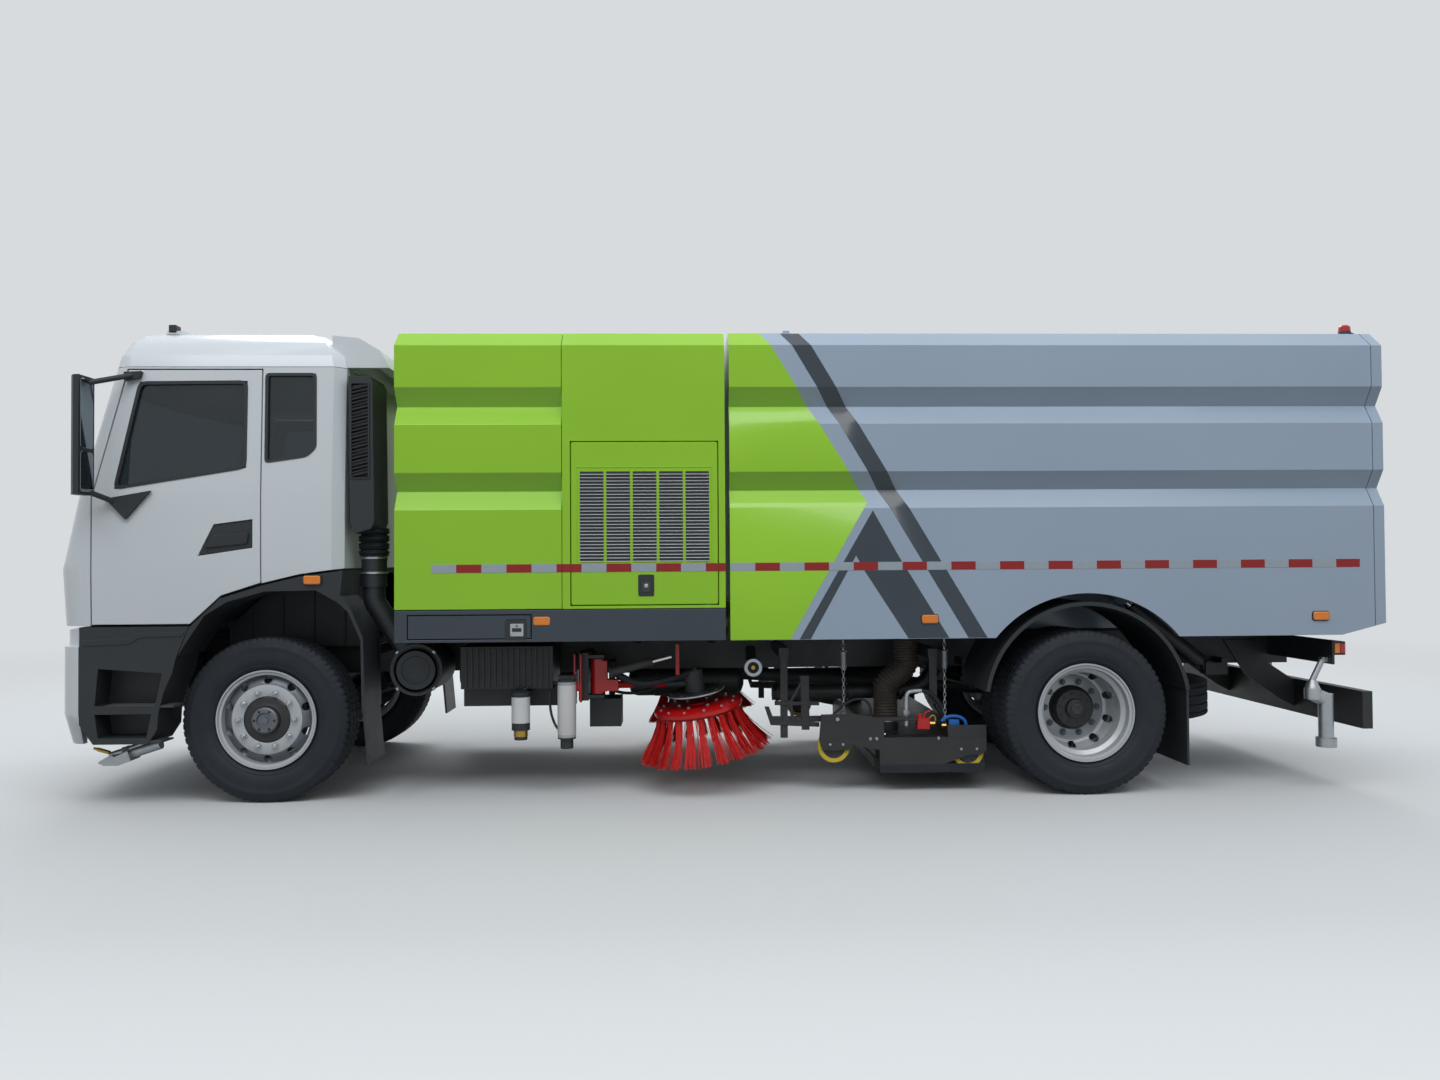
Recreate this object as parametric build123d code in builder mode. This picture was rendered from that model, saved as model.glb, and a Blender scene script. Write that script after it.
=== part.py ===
# Street sweeper truck: a cab-over chassis with a water tank, an auxiliary engine housing, a tipping
# dirt hopper, two side brushes and a suction head between the axles.
# Millimetres. +X points to the rear, -Y is the vehicle's left side, Z = 0 is the road.
# The origin is at ground level in the middle of the truck's outline.
import os
from math import radians, sin

from build123d import *

os.makedirs("parts", exist_ok=True)

# Driving dimensions
overall_length = 8220
front_overhang = 1350
wheelbase = 5000
half_width = 1250
tyre_radius = 500
tyre_width = 276
rim_radius = 298
front_track_half = 990
rear_outer_half = 1088
twin_spacing = 318

# Chassis frame
rail_outer = 430
rail_flange = 80
rail_web = 8
rail_bottom = 720
rail_top = 950

# Body panels: heights shared by the tank, the engine housing and the hopper
body_bottom = 967
box_bottom = 1164
body_top = 2850
wall = 40
rib_depth = 70
top_inset = 115

# Body stations behind the front axle
tank_start, tank_end = 805, 1803
housing_start, housing_end = 1806, 2788
hopper_start, hopper_end, tailgate_end = 2815, 6792, 6862

# Moving parts
steer_kingpin = 850
tilt_pivot_back, tilt_pivot_z = -1190, 935
tip_pivot_back, tip_pivot_z, tip_pin_radius = 6600, 905, 30
tailgate_pivot_back, tailgate_pivot_z = 6795, 2866
ram_y, ram_foot_back, ram_foot_z = 520, 6100, 700
ram_eye_back, ram_eye_z = 5500, 1180
brush_radius = 282

front_axle_x = -overall_length / 2 + front_overhang
rear_axle_x = front_axle_x + wheelbase
sides = (("left", -1), ("right", 1))


# Distance behind the front axle, turned into the row's X
def back(distance):
    return front_axle_x + distance


# Points of (distance behind the front axle, height), turned into (X, Z)
def placed(points):
    return [(back(distance), z) for distance, z in points]


# Label a finished piece and write it under its own name
def save(piece, name):
    piece.part.label = name
    export_step(piece.part, f"parts/{name}.step")


# A closed outline in the side view, extruded across from y_start to y_end
def side_prism(points, y_start, y_end):
    with BuildPart() as prism:
        with BuildSketch(Plane.XZ.offset(-y_start)):
            with BuildLine():
                Polyline(*points, close=True)
            make_face()
        extrude(amount=y_start - y_end)
    return prism.part


# A closed outline in the front view, extruded back from x_start over a length
def end_prism(points, x_start, length):
    with BuildPart() as prism:
        with BuildSketch(Plane.YZ.offset(x_start)):
            with BuildLine():
                Polyline(*points, close=True)
            make_face()
        extrude(amount=length)
    return prism.part


# A round bar between two points
def bar(start, end, radius):
    start, end = Vector(*start), Vector(*end)
    with BuildPart() as rod:
        with BuildSketch(Plane(origin=start, z_dir=end - start)):
            Circle(radius)
        extrude(amount=(end - start).length)
    return rod.part


# A disc or drum across the truck, between two Y values
def drum(x, z, radius, y_start, y_end):
    return bar((x, y_start, z), (x, y_end, z), radius)


# A box between two Y values, centred on a distance and a height
def cross_box(distance, z, y_start, y_end, length, height):
    with BuildPart() as block:
        with Locations((back(distance), (y_start + y_end) / 2, z)):
            Box(length, abs(y_end - y_start), height)
    return block.part


# One leaf spring pack with its two hangers: three arcs under the rail, thicker in the middle.
# Rows of the leaves: share of the full length, drop below the main leaf
def spring_pack(axle_x, seat_z, y_mid, half_length):
    width = 76
    leaf = 16
    eye_z = rail_bottom - 60
    sweep_up = eye_z - seat_z - 48
    with BuildPart() as pack:
        for reach, drop in ((1.0, 0), (0.72, 15), (0.45, 30)):
            end_x = half_length * reach
            rise = sweep_up * reach * reach
            low = seat_z + 32 - drop
            with BuildSketch(Plane.XZ.offset(-(y_mid - width / 2))):
                with BuildLine():
                    upper = ThreePointArc(
                        (axle_x - end_x, low + rise + leaf), (axle_x, low + leaf), (axle_x + end_x, low + rise + leaf))
                    lower = ThreePointArc(
                        (axle_x - end_x, low + rise), (axle_x, low), (axle_x + end_x, low + rise))
                    Line(upper @ 0, lower @ 0)
                    Line(upper @ 1, lower @ 1)
                make_face()
            extrude(amount=-width)
        for end in (-1, 1):
            eye_x = axle_x + end * half_length
            add(side_prism(
                ((eye_x - 28, eye_z - 30), (eye_x + 28, eye_z - 30), (eye_x + 60, rail_bottom + 120),
                 (eye_x - 60, rail_bottom + 120)), y_mid - width / 2, y_mid + width / 2))
    return pack.part


# Frame rails: two C sections, their cross members, the body's subframe and the outriggers that carry it
rail_start, rail_end = -1060, 6700
cross_members = (-1000, 1150, 1750, 2900, 4250, 6250)
outriggers = (815, 1660, 2200, 2700)
spray_post_back, guide_post_back = 3160, 4112
with BuildPart() as frame_rails:
    for _, s in sides:
        flange_y, web_y = s * (rail_outer - rail_flange), s * (rail_outer - rail_web)
        add(end_prism(
            ((s * rail_outer, rail_bottom), (flange_y, rail_bottom), (flange_y, rail_bottom + rail_web),
             (web_y, rail_bottom + rail_web), (web_y, rail_top - rail_web), (flange_y, rail_top - rail_web),
             (flange_y, rail_top), (s * rail_outer, rail_top)), back(rail_start), rail_end - rail_start))
        # Subframe beam on the rail, under the tank and the engine housing
        with Locations((back(tank_start + 990), s * 390, (rail_top + box_bottom) / 2)):
            Box(1980, 70, box_bottom - rail_top)
    for distance in cross_members:
        add(cross_box(distance, rail_top - 65, 4 - rail_outer, rail_outer - 4, 70, 90))
    # Outriggers taper towards the sides of the body
    for distance in outriggers:
        for _, s in sides:
            add(end_prism(
                ((s * 1180, box_bottom), (s * 1180, box_bottom - 50), (s * (rail_outer - 4), rail_top - 60),
                 (s * (rail_outer - 4), box_bottom)), back(distance), 45))
    add(drum(back(tip_pivot_back), tip_pivot_z, tip_pin_radius, 4 - rail_outer, rail_outer - 4))
    for _, s in sides:
        # Foot of the tipping ram: two ears, their block on the rail and the pin
        for offset in (-36, 36):
            add(cross_box(ram_foot_back + 40, ram_foot_z - 5, s * ram_y + offset - 7, s * ram_y + offset + 7, 150, 80))
        add(cross_box(ram_foot_back + 95, ram_foot_z + 10, s * (rail_outer - 4), s * (ram_y + 43), 40, 110))
        add(drum(back(ram_foot_back), ram_foot_z, 21.5, s * (ram_y - 43), s * (ram_y + 43)))
        # Beam, post and rail of the spray frame ahead of the suction head
        add(cross_box(spray_post_back, 868, s * (rail_outer - 4), s * 997, 60, 60))
        add(cross_box(spray_post_back, 615, s * 963, s * 997, 44, 560))
        add(cross_box(spray_post_back + 110, 450, s * 963, s * 997, 384, 34))
        # Guide post of the suction head
        add(cross_box(guide_post_back, 850, s * (rail_outer - 4), s * 955, 60, 60))
        add(cross_box(guide_post_back, 700, s * 925, s * 955, 48, 340))
save(frame_rails, "frame_rails")

# Front axle: a dropped beam between the kingpins, with its springs and hangers
beam_z = tyre_radius - 30
spring_y = rail_outer + 38
with BuildPart() as front_axle:
    eye_y = steer_kingpin - 55
    add(end_prism(
        ((-eye_y, beam_z + 70), (-eye_y, beam_z - 20), (-640, beam_z - 70), (640, beam_z - 70),
         (eye_y, beam_z - 20), (eye_y, beam_z + 70), (620, beam_z + 30), (-620, beam_z + 30)),
        front_axle_x - 50, 100))
    for _, s in sides:
        add(spring_pack(front_axle_x, beam_z, s * spring_y, 700))
        with Locations((front_axle_x, s * spring_y, beam_z + 25)):
            Box(190, 76, 66)
        add(bar((front_axle_x, s * (steer_kingpin - 20), beam_z - 24),
                (front_axle_x, s * (steer_kingpin - 20), beam_z + 74), 46))
save(front_axle, "front_axle")

# Rear axle: round tubes into a banjo housing, with springs and hangers
stub_end = rear_outer_half - 165
with BuildPart() as rear_axle:
    add(drum(rear_axle_x, tyre_radius, 60, -stub_end, stub_end))
    add(drum(rear_axle_x, tyre_radius, 74, -590, 590))
    with BuildSketch(Plane(origin=(rear_axle_x, 0, tyre_radius), x_dir=(0, 1, 0), z_dir=(1, 0, 0))):
        with BuildLine():
            Polyline((-230, 0), (-230, 70), (-110, 190), (-60, 205), (60, 205), (110, 190), (230, 70), (230, 0),
                     close=True)
        make_face()
    revolve(axis=Axis((rear_axle_x, 0, tyre_radius), (0, 1, 0)))
    add(bar((rear_axle_x - 330, 0, tyre_radius + 20), (rear_axle_x, 0, tyre_radius), 92))
    for _, s in sides:
        add(spring_pack(rear_axle_x, tyre_radius, s * spring_y, 740))
        with Locations((rear_axle_x, s * spring_y, tyre_radius + 36)):
            Box(200, 76, 90)
save(rear_axle, "rear_axle")

# Drive line: the engine and gearbox under the cab as one plain block, and the shaft to the rear axle
shaft_start_back, shaft_start_z = 895, 780
with BuildPart() as driveline:
    add(side_prism(placed(
        ((-820, 1000), (-820, 640), (-640, 600), (-180, 600), (-160, 640), (180, 640), (200, 700), (900, 715),
         (900, 880), (420, 1000))), -320, 320))
    chamfer(driveline.edges().filter_by(Axis.X), 30)
    add(bar((back(shaft_start_back), 0, shaft_start_z), (rear_axle_x - 332, 0, tyre_radius + 22), 46))
save(driveline, "driveline")

# Steering knuckles: a fork round the axle's eye, the brake drum's back plate and the stub axle
for side, s in sides:
    with BuildPart() as knuckle:
        for z in (beam_z + 92, beam_z - 42):
            with Locations((front_axle_x, s * (steer_kingpin - 8), z)):
                Box(110, 90, 26)
        with Locations((front_axle_x, s * (steer_kingpin + 34), tyre_radius - 5)):
            Box(110, 16, 190)
        add(drum(front_axle_x, tyre_radius, 130, s * (steer_kingpin + 38), s * (steer_kingpin + 56)))
        add(drum(front_axle_x, tyre_radius, 50, s * (steer_kingpin + 50), s * (steer_kingpin + 190)))
    save(knuckle, f"knuckle_{side}")


# Tyre, revolved: straight tread, round shoulders and sidewalls down to the beads
def tyre_solid(centre_x, centre_y):
    half = tyre_width / 2
    bead = rim_radius + 1
    tread_half = half - 24
    shoulder = (half - 4, tyre_radius - 45)
    with BuildPart() as tyre:
        with BuildSketch(Plane(origin=(centre_x, centre_y, tyre_radius), x_dir=(0, 1, 0), z_dir=(1, 0, 0))):
            with BuildLine():
                Line((-tread_half, tyre_radius), (tread_half, tyre_radius))
                Line((98, bead), (-98, bead))
                for side_sign in (-1, 1):
                    ThreePointArc((side_sign * tread_half, tyre_radius), (side_sign * (half - 9), tyre_radius - 14),
                                  (side_sign * shoulder[0], shoulder[1]))
                    ThreePointArc((side_sign * shoulder[0], shoulder[1]), (side_sign * half, tyre_radius - 110),
                                  (side_sign * 98, bead))
            make_face()
        revolve(axis=Axis((centre_x, centre_y, tyre_radius), (0, 1, 0)))
    return tyre.part


# Disc wheel, revolved about the axle: the rim well, and the disc at an offset from the rim's middle.
# outward is +1 or -1 along Y for the side that the disc's face looks to.
def rim_solid(centre_x, centre_y, outward, disc_offset):
    face = outward * disc_offset
    back_face = face - outward * 12
    foot = face - outward * 55
    with BuildPart() as rim:
        with BuildSketch(Plane(origin=(centre_x, centre_y, tyre_radius), x_dir=(0, 1, 0), z_dir=(1, 0, 0))):
            with BuildLine():
                Polyline(
                    (-118, rim_radius), (-106, rim_radius), (-99, rim_radius - 14), (-60, rim_radius - 18),
                    (-42, rim_radius - 42), (42, rim_radius - 42), (60, rim_radius - 18), (99, rim_radius - 14),
                    (106, rim_radius), (118, rim_radius), (110, rim_radius - 26), (64, rim_radius - 32),
                    (46, rim_radius - 56), (-46, rim_radius - 56), (-64, rim_radius - 32), (-110, rim_radius - 26),
                    close=True,
                )
            make_face()
            with BuildLine():
                Polyline((foot, rim_radius - 22), (foot + outward * 16, rim_radius - 24), (face, 200), (face, 0),
                         (back_face, 0), (back_face, 196), (foot - outward * 4, rim_radius - 46), close=True)
            make_face()
        revolve(axis=Axis((centre_x, centre_y, tyre_radius), (0, 1, 0)))
        # Ten round hand holes
        with BuildSketch(Plane(origin=(centre_x, centre_y + face, tyre_radius), x_dir=(1, 0, 0), z_dir=(0, 1, 0))):
            with PolarLocations(214, 10, start_angle=18):
                Circle(24)
        extrude(amount=40, both=True, mode=Mode.SUBTRACT)
    return rim.part


front_dish = 104
twin_half = twin_spacing / 2
for side, s in sides:
    front_y, outer_y, inner_y = s * front_track_half, s * rear_outer_half, s * (rear_outer_half - twin_spacing)
    with BuildPart() as front_tyre:
        add(tyre_solid(front_axle_x, front_y))
    save(front_tyre, f"front_tyre_{side}")
    with BuildPart() as front_rim:
        add(rim_solid(front_axle_x, front_y, s, front_dish))
        # Hub cap outside the disc and a brake drum inside it, round the stub axle
        add(drum(front_axle_x, tyre_radius, 84, front_y + s * (front_dish - 6), front_y + s * (front_dish + 46)))
        add(drum(front_axle_x, tyre_radius, 170, s * (steer_kingpin + 62), front_y + s * (front_dish - 6)))
        add(drum(front_axle_x, tyre_radius, 55, s * (steer_kingpin + 60), s * (steer_kingpin + 196)),
            mode=Mode.SUBTRACT)
    save(front_rim, f"front_rim_{side}")
    with BuildPart() as rear_tyres:
        add(tyre_solid(rear_axle_x, outer_y))
        add(tyre_solid(rear_axle_x, inner_y))
    save(rear_tyres, f"rear_tyres_{side}")
    # Twin rims: both discs meet in the middle, on the hub
    with BuildPart() as rear_rims:
        add(rim_solid(rear_axle_x, outer_y, -s, twin_half))
        add(rim_solid(rear_axle_x, inner_y, s, twin_half))
        add(drum(rear_axle_x, tyre_radius, 112, outer_y - s * 250, outer_y + s * 30))
        add(drum(rear_axle_x, tyre_radius, 64, outer_y - s * 252, s * (stub_end + 5)), mode=Mode.SUBTRACT)
    save(rear_rims, f"rear_rims_{side}")

# Spare wheel, flat under the rear overhang, with its carrier on the rails
spare_back, spare_z = 5800, 462
with BuildPart() as spare_wheel:
    with BuildSketch(Plane(origin=(back(spare_back), 0, spare_z), x_dir=(1, 0, 0), z_dir=(0, -1, 0))):
        with BuildLine():
            Polyline(
                (0, 0), (rim_radius - 60, 0), (rim_radius - 50, -60), (rim_radius + 6, -98), (430, -136), (478, -130),
                (497, -104), (497, 104), (478, 130), (430, 136), (rim_radius + 6, 98), (rim_radius - 50, 60),
                (rim_radius - 70, 14), (0, 14), close=True,
            )
        make_face()
    revolve(axis=Axis((back(spare_back), 0, spare_z), (0, 0, 1)))
    add(cross_box(spare_back, spare_z + 172, 12 - rail_outer, rail_outer - 12, 90, 24))
    for _, s in sides:
        add(cross_box(spare_back, (spare_z + 160 + rail_bottom) / 2, s * (rail_outer - 36), s * (rail_outer - 12), 90,
                      rail_bottom - spare_z - 160))
    add(bar((back(spare_back), 0, spare_z + 10), (back(spare_back), 0, spare_z + 165), 32))
save(spare_wheel, "spare_wheel")

# Cab: plan sections going up. Rows: height, nose in the middle, nose at the corner, where the side starts,
# half width, all but the height and width measured from the front axle
cab_rear = 495
cab_wall = 50
cab_floor_z = 1085
belt_z = 1844
seam_z = 2630
cab_sections = (
    (cab_floor_z, -1332, -1167, -1010, 1240),
    (1420, -1348, -1185, -1010, 1250),
    (belt_z, -1275, -1090, -960, 1246),
    (seam_z, -1075, -885, -760, 1200),
)


# One horizontal section of the cab, drawn inside the outline by the inset
def cab_plan(row, inset):
    z, nose, corner, side_start, width = row
    w = width - inset
    corner_y = w - 95
    nose_x, corner_x, side_x, rear_x = back(nose) + inset, back(corner) + inset, back(side_start), back(cab_rear) - inset
    bulge_x, bulge_y = (corner_x + side_x) / 2 - 24, (corner_y + w) / 2 + 20
    with BuildSketch(Plane.XY.offset(z)) as plan:
        with BuildLine():
            ThreePointArc((corner_x, -corner_y), (nose_x, 0), (corner_x, corner_y))
            for s in (-1, 1):
                ThreePointArc((corner_x, s * corner_y), (bulge_x, s * bulge_y), (side_x, s * w))
                Line((side_x, s * w), (rear_x - 60, s * w))
                Line((rear_x - 60, s * w), (rear_x, s * (w - 60)))
            Line((rear_x, w - 60), (rear_x, 60 - w))
        make_face()
    return plan.sketch


# The cab's outer hull, or the same hull drawn inwards by the inset
def cab_hull(inset):
    with BuildPart() as hull:
        loft(sections=[cab_plan(row, inset) for row in cab_sections], ruled=True)
    return hull.part


# What lies below the sill and the wheel arch, raised by a thickness
def below_sill(rise):
    return side_prism(
        ((back(-1500), cab_floor_z + rise), (back(-407) - rise * 0.3, cab_floor_z + rise),
         (back(-220) - rise * 0.5, 1256 + rise), (back(18) - rise * 0.3, 1330 + rise),
         (back(246) - rise * 0.3, 1384 + rise), (back(560), 1424 + rise), (back(900), 1424 + rise),
         (back(900), 600), (back(-1500), 600)), -1400, 1400)


# Door outline seen from the side, grown by a gap
def door_outline(gap):
    front, lintel_front, rear = back(-968) - gap, back(-778) - gap, back(8) + gap
    return (
        (front, 1092 - gap), (front, belt_z), (lintel_front, 2612 + gap), (rear, 2612 + gap),
        (rear + 8, 1334 - gap), (back(-216), 1260 - gap), (back(-400) + gap, 1092 - gap),
    )


door_window = ((-842, 1895), (-713, 2540), (-76, 2545), (-73, 2020))
rear_side_window = ((40, 2052), (34, 2590), (330, 2590), (338, 2140), (284, 2088))
windscreen = ((-1090, 1900), (1090, 1900), (1000, 2560), (-1000, 2560))
door_gap = 8
door_depth = 1130

with BuildPart() as cab_hollow:
    add(cab_hull(cab_wall))
    add(below_sill(cab_wall), mode=Mode.SUBTRACT)

with BuildPart() as cab_shell:
    add(cab_hull(0))
    add(below_sill(0), mode=Mode.SUBTRACT)
    add(cab_hollow.part, mode=Mode.SUBTRACT)
    for _, s in sides:
        add(side_prism(door_outline(door_gap), s * door_depth, s * 1400), mode=Mode.SUBTRACT)
        add(side_prism(placed(rear_side_window), s * door_depth, s * 1400), mode=Mode.SUBTRACT)
    add(end_prism(windscreen, back(-1500), 700), mode=Mode.SUBTRACT)
    # Lugs under the nose that turn on the pins of the front brackets
    for _, s in sides:
        add(cross_box(tilt_pivot_back, (cab_floor_z + 10 + tilt_pivot_z) / 2, s * 255, s * 305, 50,
                      cab_floor_z + 10 - tilt_pivot_z))
        add(drum(back(tilt_pivot_back), tilt_pivot_z, 32, s * 255, s * 305))
        add(drum(back(tilt_pivot_back), tilt_pivot_z, 14.5, s * 250, s * 310), mode=Mode.SUBTRACT)
save(cab_shell, "cab_shell")

# Cab roof: a high cap that narrows upwards. Rows: height, inset from the seam section
roof_rows = ((seam_z + 3, 0), (2705, 18), (2795, 75), (2860, 190), (2893, 330))
with BuildPart() as cab_roof:
    loft(sections=[cab_plan((z, -1075, -885, -760, 1200), inset) for z, inset in roof_rows], ruled=True)
    # The rear fairing runs on over the air intake and is open below
    add(side_prism(placed(((400, 2640), (400, 2838), (560, 2822), (690, 2745), (742, 2640))), -1120, 1120))
    add(side_prism(placed(((500, 2600), (500, 2790), (550, 2778), (650, 2715), (690, 2600))), -1080, 1080),
        mode=Mode.SUBTRACT)
    with Locations((back(-640), -860, 2880)):
        Box(110, 90, 60)
save(cab_roof, "cab_roof")

# Glass: thin panes that follow the cab's skin
glass_inset, glass_thick = 14, 6
with BuildPart() as glass_skin:
    add(cab_hull(glass_inset))
    add(cab_hull(glass_inset + glass_thick), mode=Mode.SUBTRACT)
with BuildPart() as side_panes:
    add(glass_skin.part)
    add(side_prism(placed(rear_side_window), -1400, 1400), mode=Mode.INTERSECT)
with BuildPart() as cab_glass:
    add(glass_skin.part)
    add(end_prism(windscreen, back(-1500), 700), mode=Mode.INTERSECT)
    add(side_panes.part)
save(cab_glass, "cab_glass")

# Doors with a window each, cut from the same skin
for side, s in sides:
    with BuildPart() as door:
        add(cab_hull(0))
        add(cab_hollow.part, mode=Mode.SUBTRACT)
        # The door's inner edge stands out from the floor, which it passes as it swings
        add(side_prism(door_outline(0), s * (door_depth + door_gap), s * 1400), mode=Mode.INTERSECT)
        add(side_prism(placed(door_window), s * door_depth, s * 1400), mode=Mode.SUBTRACT)
        # Handle recess
        add(side_prism(placed(((-351, 1495), (-258, 1683), (-30, 1712), (-30, 1542))), s * (half_width - 34),
                       s * 1300), mode=Mode.SUBTRACT)
    save(door, f"door_{side}")
    with BuildPart() as pane:
        add(glass_skin.part)
        add(side_prism(placed(door_window), s * door_depth, s * 1400), mode=Mode.INTERSECT)
    save(pane, f"door_glass_{side}")

# Mirrors: a tall housing on two arms from the door's front corner
mirror_top, mirror_bottom = 2537, 1851
for side, s in sides:
    with BuildPart() as mirror:
        with BuildSketch(Plane.XY.offset(mirror_bottom)):
            with BuildLine():
                Polyline((back(-908), s * 1335), (back(-908), s * 1505), (back(-940), s * 1500), (back(-975), s * 1455),
                         (back(-975), s * 1385), (back(-940), s * 1340), close=True)
            make_face()
        extrude(amount=mirror_top - mirror_bottom)
        # Triangular bracket on the door and the cap on the door frame
        add(side_prism(placed(((-880, 1838), (-618, 1884), (-764, 1716))), s * half_width, s * 1272))
        add(side_prism(placed(((-790, 2596), (-690, 2600), (-700, 2560), (-788, 2545))), s * 1206, s * 1238))
        add(bar((back(-835), s * 1262, 1822), (back(-930), s * 1400, 1880), 16))
        add(bar((back(-745), s * 1230, 2576), (back(-930), s * 1400, 2500), 16))
    save(mirror, f"mirror_{side}")

# Grille panel: the dark band across the cab's nose, with four slots
grille_slots = (1200, 1290, 1380, 1470)
with BuildPart() as grille_panel:
    add(cab_hull(-16))
    add(cab_hull(-1), mode=Mode.SUBTRACT)
    add(end_prism(((-820, 1140), (820, 1140), (860, 1540), (-860, 1540)), back(-1500), 400), mode=Mode.INTERSECT)
    for z in grille_slots:
        with Locations((back(-1400), 0, z)):
            Box(300, 1440, 34, mode=Mode.SUBTRACT)
save(grille_panel, "grille_panel")

# Dashboard with the steering column and wheel on the left
wheel_hub = (back(-640), -520, 1830)
with BuildPart() as dashboard:
    add(side_prism(placed(((-1110, 1560), (-1040, 1800), (-860, 1790), (-760, 1700), (-790, 1560), (-900, 1480))),
                   -1040, 1040))
    add(bar((back(-850), -520, 1640), wheel_hub, 30))
    rim_plane = Plane(origin=wheel_hub, z_dir=(210, 0, 190))
    with BuildSketch(rim_plane):
        Circle(225)
        Circle(190, mode=Mode.SUBTRACT)
        Rectangle(400, 34)
        Rectangle(34, 400)
        Circle(60)
    extrude(amount=24)
save(dashboard, "dashboard")

# Seats: two cushions with backs and headrests on plinths
with BuildPart() as cab_seats:
    for _, s in sides:
        add(side_prism(placed(
            ((-420, 1480), (-430, 1590), (60, 1560), (150, 2130), (160, 2330), (260, 2330), (265, 2130), (200, 1470),
             (60, 1440), (60, 1436), (-330, 1436))), s * 520 - 260, s * 520 + 260))
        # Plinth on the sloping floor
        add(side_prism(placed(((-245, 1444), (-245, 1256 + cab_wall), (3, 1330 + cab_wall), (3, 1444))),
                       s * 520 - 170, s * 520 + 170))
save(cab_seats, "cab_seats")

# Front bumper: a shell that follows the cab's plan. Rows: height, nose, corner, side start, half width
bumper_rows = (
    (380, -1300, -1150, -1030, 1180), (560, -1345, -1175, -1030, 1238), (962, -1345, -1175, -1030, 1240),
    (966, -1325, -1155, -1020, 1220), (1060, -1325, -1155, -1020, 1220),
)
bumper_wall = 45
bumper_end = -1046
lamp_window = ((700, 720), (1060, 720), (1060, 870), (660, 870))
with BuildPart() as lamp_units:
    loft(sections=[cab_plan(row, 24) for row in bumper_rows], ruled=True)
    loft(sections=[cab_plan(row, 90) for row in bumper_rows], ruled=True, mode=Mode.SUBTRACT)
    with Locations((back(-1200), 0, 795)):
        Box(400, 2160, 190, mode=Mode.INTERSECT)
        Box(400, 1270, 190, mode=Mode.SUBTRACT)
with BuildPart() as front_bumper:
    loft(sections=[cab_plan(row, 0) for row in bumper_rows], ruled=True)
    loft(sections=[cab_plan(row, bumper_wall) for row in bumper_rows], ruled=True, mode=Mode.SUBTRACT)
    with Locations((back(bumper_end + 1500), 0, 700)):
        Box(3000, 3000, 900, mode=Mode.SUBTRACT)
    # The upper band stands only at the corners, so that the cab's nose can tip over the middle
    with Locations((back(-1300), 0, 1020)):
        Box(300, 1400, 116, mode=Mode.SUBTRACT)
    # Lower air intake and the two lamp windows
    for z in (610, 680, 750):
        with Locations((back(-1330), 0, z)):
            Box(200, 1000, 44, mode=Mode.SUBTRACT)
    for _, s in sides:
        add(end_prism([(s * y, z) for y, z in lamp_window], back(-1400), 350), mode=Mode.SUBTRACT)
        # Bracket to the rail, with the pin that the cab tilts on
        add(cross_box((rail_start - 1320) / 2, (rail_bottom + rail_top) / 2, s * 355, s * 425, rail_start + 1320, 150))
        add(cross_box(tilt_pivot_back, 920, s * 345, s * 425, 80, 100))
        add(drum(back(tilt_pivot_back), tilt_pivot_z, 14, s * 240, s * 350))
    add(lamp_units.part)
save(front_bumper, "front_bumper")

# Cab steps: a moulded panel ahead of each front wheel, with two foot recesses
step_outline = ((-1040, 1078), (-404, 1078), (-478, 889), (-500, 800), (-548, 690), (-580, 560), (-585, 470),
                (-640, 384), (-960, 384), (-1040, 500))
step_inner, step_outer = 930, 1243
recesses = (((-950, 610), (-600, 610), (-560, 800), (-930, 830)), ((-930, 420), (-650, 420), (-620, 560), (-950, 560)))
with BuildPart() as cab_steps:
    for _, s in sides:
        add(side_prism(placed(step_outline), s * step_inner, s * step_outer))
        for recess in recesses:
            add(side_prism(placed(recess), s * (step_outer - 170), s * 1300), mode=Mode.SUBTRACT)
        # Ridge along the top and the bracket to the rail
        add(side_prism(placed(((-1020, 1000), (-760, 1010), (-700, 1040), (-430, 1044), (-440, 1020), (-690, 1012),
                               (-750, 975), (-1020, 965))), s * (step_outer - 5), s * (step_outer + 6)))
        add(cross_box(-930, 850, s * rail_outer, s * (step_inner + 5), 80, 70))
save(cab_steps, "cab_steps")

# Front mudguards: a broad band between the wheel and the cab's arch, with a flap behind
flare_outer = ((-404, 1070), (-222, 1242), (16, 1316), (246, 1370), (500, 1404), (484, 1250), (548, 1172), (620, 1000),
               (630, 560))
flare_inner = ((612, 560), (604, 988), (530, 1156), (466, 1215), (340, 1286), (41, 1282), (-180, 1222), (-313, 1140),
               (-420, 980), (-470, 900))
with BuildPart() as front_mudguards:
    for _, s in sides:
        add(side_prism(placed(flare_outer + flare_inner), s * 880, s * 1243))
        add(side_prism(placed(((614, 562), (628, 562), (656, 250), (642, 250))), s * 900, s * 1235))
        add(cross_box(614, 905, s * rail_outer, s * 890, 22, 60))
save(front_mudguards, "front_mudguards")

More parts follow.
